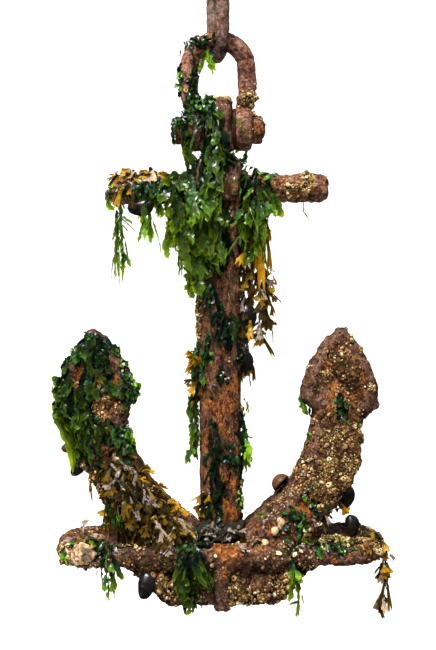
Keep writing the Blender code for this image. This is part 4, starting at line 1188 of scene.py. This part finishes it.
class Stems:
    """Remembers what already hangs, so that what grows clear of the iron starts on it."""

    def __init__(self):
        self.places = []

    def remember(self, line):
        self.places.extend(line[2:-1])

    def foothold(self, place, reach):
        """The place itself near the iron, else the nearest remembered place within reach, else None."""
        if GROUND.nearest(place)[2] < 15 * MM:
            return place
        near = min(self.places, key=lambda other: (other - place).length_squared, default=None)
        return near.copy() if near is not None and (near - place).length < reach else None


def facing_frame(way, facing, angle):
    """Side and outward directions across a way, turned by an angle about it."""
    out = facing - way * facing.dot(way)
    out = out.normalized() if out.length > 0.05 else way.orthogonal().normalized()
    side = way.cross(out)
    return side * math.cos(angle) + out * math.sin(angle), out * math.cos(angle) - side * math.sin(angle)


def torn_edge(travel, seed):
    """Reach of one edge of a frond, as a share of its full width: round lobes with sharp notches."""
    wave = noise.noise(Vector((travel / (6.5 * MM), seed, 0.3)))
    fine = noise.noise(Vector((travel / (2.8 * MM), seed, 7.1)))
    return 1 + 0.7 * (min(1.0, abs(wave) * 3.4) - 0.7 + 0.5 * fine)


# ---------------------------------------------------------------- green weed

def passes(line, bare):
    return any((place - centre).length < radius for place in line[::2] for centre, radius in bare)


def add_frond(heap, root, heading, facing, length, width, dice, tone, weight, cling=0.1, bare=()):
    """One torn, ruffled frond. Returns its middle line and directions, or nothing if it would cross a bare place."""
    rows = max(6, min(30, int(length / (3 * MM))))
    columns = 7 if width > 8 * MM else 5 if width > 4 * MM else 3
    line, ways, free = hang(root, heading, length, rows, weight, 0.45, 1.0 * MM, dice, cling)
    if passes(line, bare):
        return None, None
    seed = dice.uniform(0, 100)
    twist, turn = dice.uniform(-1.4, 1.4), dice.uniform(-0.6, 0.6)
    fold = dice.choice((-1, 1)) * dice.uniform(0.1, 0.7)
    ruffle = dice.uniform(0.3, 0.7)
    tip = [1 + 0.22 * noise.noise(Vector((seed, 2.2 * column / columns, 1))) for column in range(columns)]
    points, thin, tones = [], [], []
    for row, (middle, way) in enumerate(zip(line, ways)):
        t = row / rows
        travel = t * length
        side, out = facing_frame(way, facing, turn + twist * t)
        full = width / 2 * min(1.0, 0.4 + 3 * t) * math.sqrt(max(0.0, 1 - t ** 9)) + 0.2 * MM
        for column in range(columns):
            u = 2 * column / (columns - 1) - 1
            edge = abs(u)
            key = seed + (31 if u > 0 else 0)
            reach = full * max(0.15, 1 + (torn_edge(travel, key) - 1) * edge)
            wave = noise.noise(Vector((travel / (5 * MM), key, 3.3))) * 1.8
            lift = full * (ruffle * edge ** 1.3 * wave - fold * edge * (0.6 + 0.4 * math.sin(6 * t + seed)))
            place = middle + side * (u * reach) + out * lift + way * (length * (tip[column] - 1) * t ** 3)
            points.append(GROUND.clear(place, 0.6 * MM)[0])
            # Real thinness towards the tip and edges, times painted backlight where the frond hangs clear of the iron;
            # a high tone raises it.
            thin.append(min(1.0, free[row] * max(0.1 + 0.9 * t * t, tone * tone) * (0.4 + 0.6 * edge * edge)))
            # Tone is painted lighter towards free tips as backlight, and lighter where the ruffled edge lifts out, as
            # painted shading.
            tones.append(min(1.0, tone + 0.25 * free[row] * t * t + 0.08 * wave * edge))
    heap.add(np.array(points), face_table(grid_faces(rows + 1, columns)), tone=np.clip(tones, 0, 1), thin=thin)
    return line, ways


def branch_out(heap, line, ways, facing, length, width, dice, tone, weight, cling=0.1, bare=()):
    """Side fronds that leave a frond part of the way down."""
    for _ in range(dice.choice((0, 1, 1, 2))):
        row = int(len(line) * dice.uniform(0.2, 0.65))
        side, _ = facing_frame(ways[row], facing, 0)
        heading = ways[row] + side * dice.choice((-1, 1)) * dice.uniform(0.3, 0.9)
        add_frond(heap, line[row], heading, facing, length * dice.uniform(0.35, 0.6), width * dice.uniform(0.4, 0.75),
                  dice, tone + dice.uniform(0, 0.15), weight, cling, bare)


def make_weed(node, count, lengths, widths, tones, cling, bare=(), straps=0.3, weight=0.7):
    """A clump of green fronds rooted all over a weed node and hanging from it, in place of the node."""
    dice = random.Random(node)
    low, high = (Vector(c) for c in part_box(node))
    heap, stems = Heap(), Stems()
    carriers = max(4, count // 8)
    spots = spots_on(frame["nodes"][node].data, count * 14, dice)
    for turn, (place, normal) in enumerate(spots):
        if count == 0:
            break
        first = turn < len(spots) // 3 and carriers > 0
        height = (place.z - low.z) / (high.z - low.z)
        ahead = place + normal * 5 * MM
        hit, out, distance = GROUND.nearest(ahead)
        if (ahead - hit).dot(out) < 1 * MM or passes([place], bare):
            continue
        if (distance > 14 * MM) if first else dice.random() > 0.25 + height * 1.3:
            continue
        depth = 1.0 if first else dice.random()
        root = stems.foothold(GROUND.clear(place - normal * (depth * 8 * MM), 0.8 * MM)[0], 18 * MM)
        if root is None:
            continue
        width = dice.uniform(*widths)
        length = (root.z - low.z) * dice.uniform(0.7, 1.0) if first else dice.uniform(*lengths)
        length = min(length, (root.z - low.z) * 1.1 + 12 * MM)
        stray = 0.85 * min(1.0, 25 * MM / length)
        heading = normal * dice.uniform(0.1, 0.8) * (1 - depth) + DOWN * 0.7 + wobble(dice, stray)
        facing = (normal + FRONT * 0.2 + wobble(dice, 0.7)).normalized()
        # painted shade: fronds rooted deeper in the clump get lower, darker tones
        tone = tones[0] + (tones[1] - tones[0]) * (1 - depth) * dice.uniform(0.5, 1)
        if dice.random() < straps and not first:
            width, length = dice.uniform(1.6, 3.6) * MM, length * 1.1
        line, ways = add_frond(heap, root, heading, facing, length, width, dice, tone, weight, cling, bare)
        if line is None:
            continue
        stems.remember(line)
        if length > 24 * MM and width > 4 * MM:
            branch_out(heap, line, ways, facing, length, width, dice, tone, weight, cling, bare)
        carriers -= first
        count -= 1
    return heap.piece(node + "_fronds", "green_weed", BODY_OF[node], [node])


BARE = {
    "weed_shackle_leg": [(at("shackle", 0.08, 0.2, 0.86 - step / 15), 10 * MM) for step in range(4)]
    + [(at("shackle", 0.04, 0.22, 0.5 - step / 14), 9 * MM) for step in range(2)]
    + [(at("shackle", 0.24, 0.0, 0.16 - step / 12), 8 * MM) for step in range(2)],
    "weed_shank_top": [(at("shank", 0.85, -0.15, 1.0 - step / 25), 19 * MM) for step in range(9)],
    "weed_stock_left": [(at("shank", 0.85, -0.15, 0.96 - step / 25), 15 * MM) for step in range(8)]
    + [(at("shank", 0.66, -0.1, 0.75 - step / 20), 15 * MM) for step in range(4)]
    + [(at("weed_stock_left", step * 0.05, 0.3, 0.5 - step * 0.13), (13 + step * 3) * MM) for step in range(5)],
    "weed_fluke_left": [(at("head", across, 0.34, up), radius * MM) for across, up, radius in (
        (0.067, 0.845, 11), (0.135, 0.715, 13), (0.175, 0.7, 14), (0.2, 0.73, 11), (0.182, 0.81, 9), (0.18, 0.9, 6),
        (0.116, 0.591, 10))],
}
WEEDS = (
    ("weed_shackle_leg", 110, (9, 20), (3, 8), (0.0, 0.4), 0.3),
    ("weed_shank_top", 170, (16, 56), (5, 16), (0.0, 0.35), 0.05),
    ("weed_stock_left", 140, (22, 74), (6, 19), (0.0, 0.4), 0.03),
    ("weed_stock_right", 100, (18, 58), (5, 16), (0.0, 0.4), 0.03),
    ("weed_ribbon", 26, (20, 44), (6, 11), (0.0, 0.45), 0.2),
    ("weed_stock_end_left", 22, (12, 30), (4, 9), (0.1, 0.7), 0.0),
    ("weed_stock_mid_left", 8, (20, 50), (4, 8), (0.3, 0.9), 0.0),
    ("weed_shank_left", 36, (22, 54), (6, 12), (0.0, 0.5), 0.05),
    ("weed_shank_front", 34, (14, 34), (5, 10), (0.0, 0.35), 0.3),
    ("weed_shank_right", 22, (18, 40), (5, 10), (0.1, 0.8), 0.05),
    ("weed_fluke_left", 170, (14, 42), (5, 15), (0.0, 0.4), 0.12),
    ("weed_palm_left", 30, (16, 40), (5, 11), (0.0, 0.7), 0.1),
    ("weed_crown_left", 50, (16, 40), (5, 10), (0.0, 0.35), 0.15),
    ("weed_fluke_right", 16, (10, 22), (5, 9), (0.0, 0.6), 0.2),
    ("weed_palm_right", 50, (9, 22), (4, 9), (0.0, 0.7), 0.2),
    ("weed_strand_right", 14, (12, 26), (5, 9), (0.2, 0.9), 0.0),
)
for weed_node, count, (short, long), (narrow, wide), tones, cling in WEEDS:
    make_weed(weed_node, count, (short * MM, long * MM), (narrow * MM, wide * MM), tones, cling,
              BARE.get(weed_node, ()))


# ---------------------------------------------------------------- brown weed

def add_blade(heap, stems, root, heading, facing, length, width, forks, dice, tone, bloom, weight):
    """A flat blade that forks again and again and ends in notched, flaring tips."""
    total = forks + 1
    stack = [(root, heading.normalized(), 0)]
    rows, columns = 4, 7
    while stack:
        start, way, depth = stack.pop()
        last = depth == forks
        part = length / total * dice.uniform(0.75, 1.2) * (1.25 if last else 1)
        line, ways, free = hang(start, way, part, rows, weight, 0.45, 1.2 * MM, dice, 0.04)
        stems.remember(line)
        notch = dice.uniform(0.08, 0.26) * part
        fold, turn = dice.uniform(-0.35, 0.35), dice.uniform(-0.4, 0.4)
        points, tip = [], []
        for row, (middle, direction) in enumerate(zip(line, ways)):
            t = row / rows
            side, out = facing_frame(direction, facing, turn * t)
            flare = 0.36 + 0.64 * t if last else 0.34 + 0.2 * t * t
            half = width / 2 * flare
            for column in range(columns):
                u = column / 3 - 1
                edge = abs(u)
                end = notch * t ** 2 * ((edge / 0.67 if edge < 0.67 else (1 - edge) / 0.33) - 1) if last else 0.0
                rag = 1 + 0.25 * noise.noise(Vector((t * part / (4 * MM), u, tone * 50))) * edge
                place = middle + side * (u * half * rag) + out * (0.5 * MM * (1 - edge) - fold * half * u * u)
                points.append(GROUND.clear(place + direction * end, 0.6 * MM)[0])
                # Rises towards the end of the blade, and is doubled where it hangs clear of the iron, as painted
                # backlight.
                tip.append(min(1.0, ((depth + t) / total) ** 2 * (0.5 + 0.5 * free[row])))
        heap.add(np.array(points), face_table(grid_faces(rows + 1, columns)), tone=tone, thin=tip, bloom=bloom)
        if not last:
            side, _ = facing_frame(ways[-1], facing, turn)
            for sign in (-1, 1):
                if dice.random() < 0.85:
                    splay = dice.uniform(0.2, 0.55) * sign
                    stack.append((line[-1] - ways[-1] * 1 * MM, (ways[-1] + side * splay).normalized(), depth + 1))


def make_fucus(node, count, lengths, widths, tones, weight, bloomed, forks):
    """A clump of brown blades in place of its node."""
    dice = random.Random(node)
    low, high = (Vector(c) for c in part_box(node))
    heap, stems = Heap(), Stems()
    carriers = max(2, count // 18)
    spots = spots_on(frame["nodes"][node].data, count * 9, dice)
    for turn, (place, normal) in enumerate(spots):
        if count == 0:
            break
        first = turn < len(spots) // 3 and carriers > 0
        height = (place.z - low.z) / max(high.z - low.z, 20 * MM)
        ahead = place + normal * 5 * MM
        hit, out, distance = GROUND.nearest(ahead)
        if (ahead - hit).dot(out) < 1 * MM or ((distance > 14 * MM) if first else dice.random() > 0.15 + 1.2 * height):
            continue
        depth = dice.random()
        root = stems.foothold(GROUND.clear(place - normal * depth * 8 * MM, 0.8 * MM)[0], 22 * MM)
        if root is None:
            continue
        length = (root.z - low.z) * dice.uniform(0.8, 1.0) + 8 * MM if first else dice.uniform(*lengths)
        length = min(length, (root.z - low.z) * 1.1 + 14 * MM)
        heading = normal * dice.uniform(0.2, 0.9) * (1 - depth * 0.6) + DOWN * 0.6 + wobble(dice, 0.5)
        facing = (normal + FRONT * 0.4 + wobble(dice, 0.6)).normalized()
        # painted shade: blades rooted deeper in the clump get lower, darker tones
        tone = tones[0] + (tones[1] - tones[0]) * (1 - depth) * dice.uniform(0.4, 1)
        width = dice.uniform(*widths) * (0.65 if first else 1)
        add_blade(heap, stems, root, heading, facing, length, width, max(forks) if first else dice.choice(forks),
                  dice, tone, 1.0 if dice.random() < bloomed * (1.2 - depth) else 0.0, 1.3 if first else weight)
        carriers -= first
        count -= 1
    return heap.piece(node + "_blades", "brown_weed", BODY_OF[node], [node])


FUCUS = (
    ("fucus_stock_left", 26, (11, 19), (11, 17), (0.3, 1.0), 0.6, 0.25, (0,)),
    ("fucus_shank_right", 170, (14, 32), (8, 13), (0.0, 1.0), 0.6, 0.25, (0, 1, 1, 2)),
    ("fucus_arm_left", 320, (12, 28), (6, 11), (0.0, 0.75), 0.6, 0.28, (0, 1, 1, 2)),
    ("fucus_palm_left", 18, (12, 24), (6, 9), (0.2, 0.9), 0.4, 0.5, (0, 1)),
    ("fucus_palm_right", 50, (12, 22), (7, 12), (0.0, 0.9), 0.8, 0.15, (0, 1)),
)
for fucus_node, count, (short, long), (narrow, wide), tones, weight, bloomed, forks in FUCUS:
    make_fucus(fucus_node, count, (short * MM, long * MM), (narrow * MM, wide * MM), tones, weight, bloomed, forks)


# ---------------------------------------------------------------- small tufts

def make_tufts(name, brown, tufts):
    """Small growth here and there. Each tuft: its place, number, spread, lengths, widths, tones, weight."""
    dice = random.Random(name)
    heap, stems = Heap(), Stems()
    for (node, across, through, up), count, spread, lengths, widths, tones, weight in tufts:
        middle = at(node, across, through, up)
        for _ in range(count):
            start = middle + Vector([dice.gauss(0, spread[i] * MM) for i in range(3)])
            hit, normal, _ = GROUND.nearest(start)
            root = hit + normal * 0.8 * MM
            facing = (normal + FRONT * 0.3 + wobble(dice, 0.6)).normalized()
            length, width = dice.uniform(*lengths) * MM, dice.uniform(*widths) * MM
            stray = 0.6 * min(1.0, 25 * MM / length)
            heading = normal * dice.uniform(0.2, 0.8) + DOWN * weight + wobble(dice, stray)
            tone = dice.uniform(*tones)
            if brown:
                add_blade(heap, stems, root, heading, facing, length, width, dice.choice((0, 1)), dice, tone,
                          float(brown == "mauve" and dice.random() < 0.5), weight)
            else:
                line, ways = add_frond(heap, root, heading, facing, length, width, dice, tone, weight, 0.2)
                if length > 20 * MM:
                    branch_out(heap, line, ways, facing, length, width, dice, tone, weight, 0.2)
    return heap.piece(name, "brown_weed" if brown else "green_weed", BODY_OF[tufts[0][0][0]])


make_tufts("tufts_shackle", "", (
    (("shackle", 0.27, 0.2, 0.9), 24, (7, 4, 7), (7, 14), (4, 7), (0.0, 0.25), 0.5),
    (("shackle", 0.3, 0.0, 0.93), 10, (5, 4, 4), (8, 16), (4, 8), (0.0, 0.5), 0.5),
    (("shackle", 0.37, 0.34, 0.82), 4, (1, 1, 2), (26, 38), (6, 9), (0.9, 1.0), 1.0),
    (("shackle", -0.03, 0.4, 0.66), 4, (2, 2, 3), (10, 18), (5, 8), (0.8, 1.0), 0.3),
    (("shackle", -0.03, 0.4, 0.53), 4, (2, 2, 4), (10, 18), (5, 8), (0.7, 1.0), 0.3),
    (("shackle_bolt", 0.04, 0.3, 0.9), 16, (4, 5, 6), (16, 40), (5, 10), (0.0, 0.7), 1.0),
    (("shackle", 0.08, 0.0, 0.36), 16, (6, 4, 9), (10, 26), (4, 9), (0.0, 0.6), 0.7),
    (("shackle", 0.2, 0.2, 0.45), 14, (5, 4, 9), (10, 24), (4, 9), (0.0, 0.5), 0.7),
    (("shackle", 0.08, 0.1, 0.1), 18, (4, 5, 8), (24, 48), (5, 10), (0.0, 0.3), 1.0),
))
make_tufts("tufts_shank", "", (
    (("shank", 0.28, 0.2, 0.985), 26, (6, 7, 7), (9, 20), (4, 8), (0.0, 0.6), 0.5),
    (("shank", 0.3, 0.0, 0.95), 16, (7, 3, 8), (10, 24), (5, 10), (0.0, 0.4), 0.6),
    (("shank", 0.22, 0.2, 0.9), 14, (3, 4, 6), (16, 34), (5, 10), (0.0, 0.45), 0.9),
    (("shank", 0.57, 0.0, 0.422), 9, (4, 2, 8), (8, 16), (5, 9), (0.0, 0.3), 0.6),
    (("shank", 0.2, 0.0, 0.46), 12, (3, 2, 24), (12, 30), (5, 9), (0.0, 0.6), 1.0),
    (("shank", 0.05, 0.24, 0.56), 5, (2, 3, 4), (6, 14), (4, 8), (0.5, 1.0), 0.4),
    (("shank", 1.0, 0.24, 0.455), 5, (1, 3, 5), (5, 11), (4, 7), (0.8, 1.0), 0.4),
    (("shank", 0.8, 0.0, 0.27), 14, (6, 2, 14), (8, 22), (4, 8), (0.0, 0.4), 0.7),
    (("shank", 0.3, 0.0, 0.16), 20, (9, 2, 16), (8, 22), (4, 8), (0.0, 0.35), 0.7),
    (("shank", 1.0, 0.3, 0.16), 10, (1, 5, 12), (8, 18), (3, 7), (0.4, 1.0), 0.7),
    (("shank", 0.95, 1.0, 0.8), 24, (12, 3, 60), (14, 44), (6, 13), (0.0, 0.6), 0.7),
    (("shank", 0.3, 1.0, 0.5), 24, (14, 3, 90), (14, 44), (6, 13), (0.0, 0.6), 0.7),
))
make_tufts("tufts_stock", "", (
    (("stock", 0.12, 0.0, 0.6), 14, (13, 3, 6), (12, 34), (6, 12), (0.0, 0.3), 0.7),
    (("stock", 0.22, 0.0, 0.6), 26, (10, 3, 9), (12, 34), (6, 12), (0.0, 0.35), 0.7),
    (("stock", 0.01, 0.4, 0.5), 7, (4, 4, 8), (12, 30), (6, 11), (0.4, 1.0), 0.6),
    (("stock", 0.13, 0.3, 0.1), 9, (8, 3, 2), (14, 34), (7, 13), (0.7, 1.0), 0.8),
    (("stock", 0.89, 0.4, 0.05), 1, (0, 0, 0), (32, 34), (2, 3), (0.5, 0.6), 1.2),
    (("stock", 0.72, 0.3, 0.9), 8, (7, 4, 3), (8, 18), (4, 9), (0.3, 1.0), 0.5),
    (("stock", 0.75, 0.4, 0.05), 9, (8, 4, 2), (12, 30), (5, 10), (0.4, 1.0), 0.9),
    (("stock", 0.3, 1.0, 0.7), 26, (30, 3, 8), (14, 44), (6, 13), (0.0, 0.6), 0.7),
))
make_tufts("tufts_head", "", (
    (("head", 0.11, 0.3, 0.975), 34, (12, 5, 5), (6, 14), (3, 7), (0.0, 0.6), 0.5),
    (("head", 0.05, 0.37, 0.92), 8, (4, 4, 7), (8, 18), (5, 9), (0.6, 1.0), 0.4),
    (("head", 0.0, 0.37, 0.82), 12, (2, 4, 8), (12, 24), (7, 12), (0.6, 1.0), 0.4),
    (("head", 0.0, 0.37, 0.72), 12, (2, 4, 7), (14, 30), (7, 12), (0.6, 1.0), 0.3),
    (("head", 0.05, 0.37, 0.62), 8, (3, 4, 6), (12, 26), (6, 11), (0.4, 1.0), 0.4),
    (("head", 0.2, 0.37, 0.9), 8, (4, 4, 6), (8, 16), (4, 8), (0.5, 1.0), 0.3),
    (("head", 0.265, 0.37, 0.79), 14, (2, 4, 12), (12, 26), (7, 12), (0.5, 1.0), 0.3),
    (("head", 0.23, 0.3, 0.8), 30, (6, 3, 16), (12, 26), (5, 10), (0.0, 0.4), 0.6),
    (("head", 0.1, 0.3, 0.66), 24, (10, 3, 8), (14, 32), (5, 11), (0.0, 0.5), 0.6),
    (("head", 0.18, 0.3, 0.63), 26, (11, 3, 7), (14, 32), (5, 11), (0.0, 0.6), 0.6),
    (("head", 0.27, 0.34, 0.61), 12, (3, 4, 6), (12, 26), (8, 13), (0.5, 1.0), 0.1),
    (("head", 0.17, 0.11, 0.37), 12, (8, 4, 9), (16, 44), (6, 12), (0.1, 0.6), 0.8),
    (("head", 0.11, 0.1, 0.31), 12, (8, 6, 5), (8, 20), (4, 9), (0.3, 1.0), 0.3),
    (("head", 0.03, 0.11, 0.21), 8, (3, 6, 8), (8, 22), (3, 6), (0.4, 1.0), 0.7),
    (("head", 0.42, 0.05, 0.262), 18, (9, 3, 4), (10, 26), (5, 10), (0.05, 0.45), 0.5),
    (("head", 0.46, 0.1, 0.3), 12, (12, 3, 4), (8, 20), (3, 6), (0.0, 0.3), 0.4),
    (("head", 0.59, 0.24, 0.37), 12, (6, 6, 5), (6, 14), (3, 7), (0.5, 1.0), 0.3),
    (("head", 0.61, 0.1, 0.26), 6, (3, 3, 5), (6, 14), (4, 7), (0.0, 0.4), 0.4),
    (("head", 0.87, 0.3, 0.72), 12, (5, 3, 7), (8, 18), (5, 9), (0.0, 0.7), 0.5),
    (("head", 0.9, 0.3, 0.667), 6, (4, 3, 4), (6, 14), (4, 8), (0.5, 1.0), 0.4),
    (("head", 0.75, 0.37, 0.607), 6, (2, 5, 10), (5, 12), (3, 6), (0.6, 1.0), 0.4),
    (("head", 0.73, 0.15, 0.33), 22, (12, 4, 10), (8, 24), (4, 9), (0.05, 0.6), 0.6),
    (("head", 0.79, 0.15, 0.38), 14, (9, 4, 10), (8, 24), (4, 9), (0.0, 0.6), 0.6),
    (("head", 0.85, 0.1, 0.24), 14, (12, 5, 3), (8, 22), (4, 9), (0.3, 1.0), 0.6),
    (("head", 0.8, 0.9, 0.75), 26, (20, 3, 40), (14, 44), (6, 13), (0.0, 0.7), 0.7),
    (("head", 0.15, 0.9, 0.75), 40, (20, 3, 40), (14, 44), (6, 13), (0.0, 0.7), 0.7),
    (("head", 0.35, 0.95, 0.25), 30, (40, 3, 8), (14, 44), (6, 13), (0.0, 0.7), 0.7),
))
make_tufts("blades_stock", "ochre", (
    (("stock", 0.04, 0.3, 1.0), 5, (4, 4, 2), (9, 15), (9, 14), (0.7, 1.0), 0.6),
    (("stock", 0.12, 0.2, 1.0), 7, (9, 5, 2), (10, 18), (10, 16), (0.4, 1.0), 0.7),
    (("stock", 0.1, 0.0, 0.7), 7, (10, 3, 5), (18, 34), (6, 9), (0.1, 0.7), 0.8),
    (("stock", 0.21, 0.4, 1.0), 5, (5, 4, 2), (9, 15), (10, 15), (0.7, 1.0), 0.6),
))
make_tufts("blades_shank", "ochre", (
    (("stock", 0.63, 0.2, 0.0), 18, (8, 6, 3), (40, 80), (7, 12), (0.0, 0.5), 1.2),
    (("stock", 0.69, 0.3, 0.0), 16, (9, 5, 3), (46, 96), (9, 14), (0.3, 1.0), 1.2),
    (("shank", 0.02, 0.24, 0.457), 10, (2, 3, 6), (18, 34), (7, 11), (0.3, 1.0), 0.25),
    (("shank", 0.0, 0.24, 0.42), 14, (2, 3, 12), (16, 32), (7, 11), (0.0, 0.8), 0.35),
    (("shank", 0.6, 1.0, 0.6), 16, (12, 3, 60), (20, 44), (8, 14), (0.1, 1.0), 0.6),
))
make_tufts("blades_head", "ochre", (
    (("head", 0.29, 0.25, 0.494), 7, (5, 5, 4), (14, 28), (7, 11), (0.6, 1.0), 0.3),
    (("head", 0.33, 0.25, 0.442), 7, (5, 5, 4), (14, 28), (7, 11), (0.6, 1.0), 0.3),
    (("head", 0.37, 0.22, 0.409), 7, (5, 5, 4), (14, 28), (7, 11), (0.6, 1.0), 0.3),
    (("head", 0.41, 0.22, 0.375), 8, (5, 5, 4), (12, 26), (7, 12), (0.6, 1.0), 0.3),
    (("head", 0.1, 0.25, 0.54), 1, (1, 1, 1), (66, 68), (5, 6), (0.4, 0.5), 4.0),
    (("head", 0.89, 0.3, 0.335), 3, (3, 3, 2), (18, 26), (9, 12), (0.8, 1.0), 0.05),
    (("head", 0.95, 0.25, 0.3), 9, (7, 5, 3), (14, 26), (8, 12), (0.5, 1.0), 0.4),
    (("head", 0.15, 0.2, 0.31), 8, (8, 6, 3), (12, 24), (6, 10), (0.4, 1.0), 0.2),
    (("head", 0.2, 0.9, 0.5), 24, (14, 3, 20), (20, 44), (8, 13), (0.1, 1.0), 0.6),
))
make_tufts("blades_mauve", "mauve", (
    (("head", 0.07, 0.12, 0.3), 9, (7, 6, 2), (10, 22), (8, 12), (0.2, 0.6), 0.2),
    (("head", 0.46, 0.1, 0.28), 14, (9, 3, 4), (8, 18), (5, 9), (0.0, 0.15), 0.3),
    (("head", 0.54, 0.1, 0.275), 16, (9, 3, 4), (8, 18), (5, 9), (0.0, 0.15), 0.3),
    (("head", 0.72, 0.08, 0.255), 8, (6, 4, 3), (8, 16), (6, 10), (0.1, 0.5), 0.3),
    (("head", 0.83, 0.2, 0.3), 10, (12, 6, 4), (8, 18), (6, 10), (0.1, 0.5), 0.3),
    (("head", 0.38, 0.12, 0.33), 10, (8, 4, 6), (12, 30), (7, 11), (0.2, 0.8), 0.5),
))
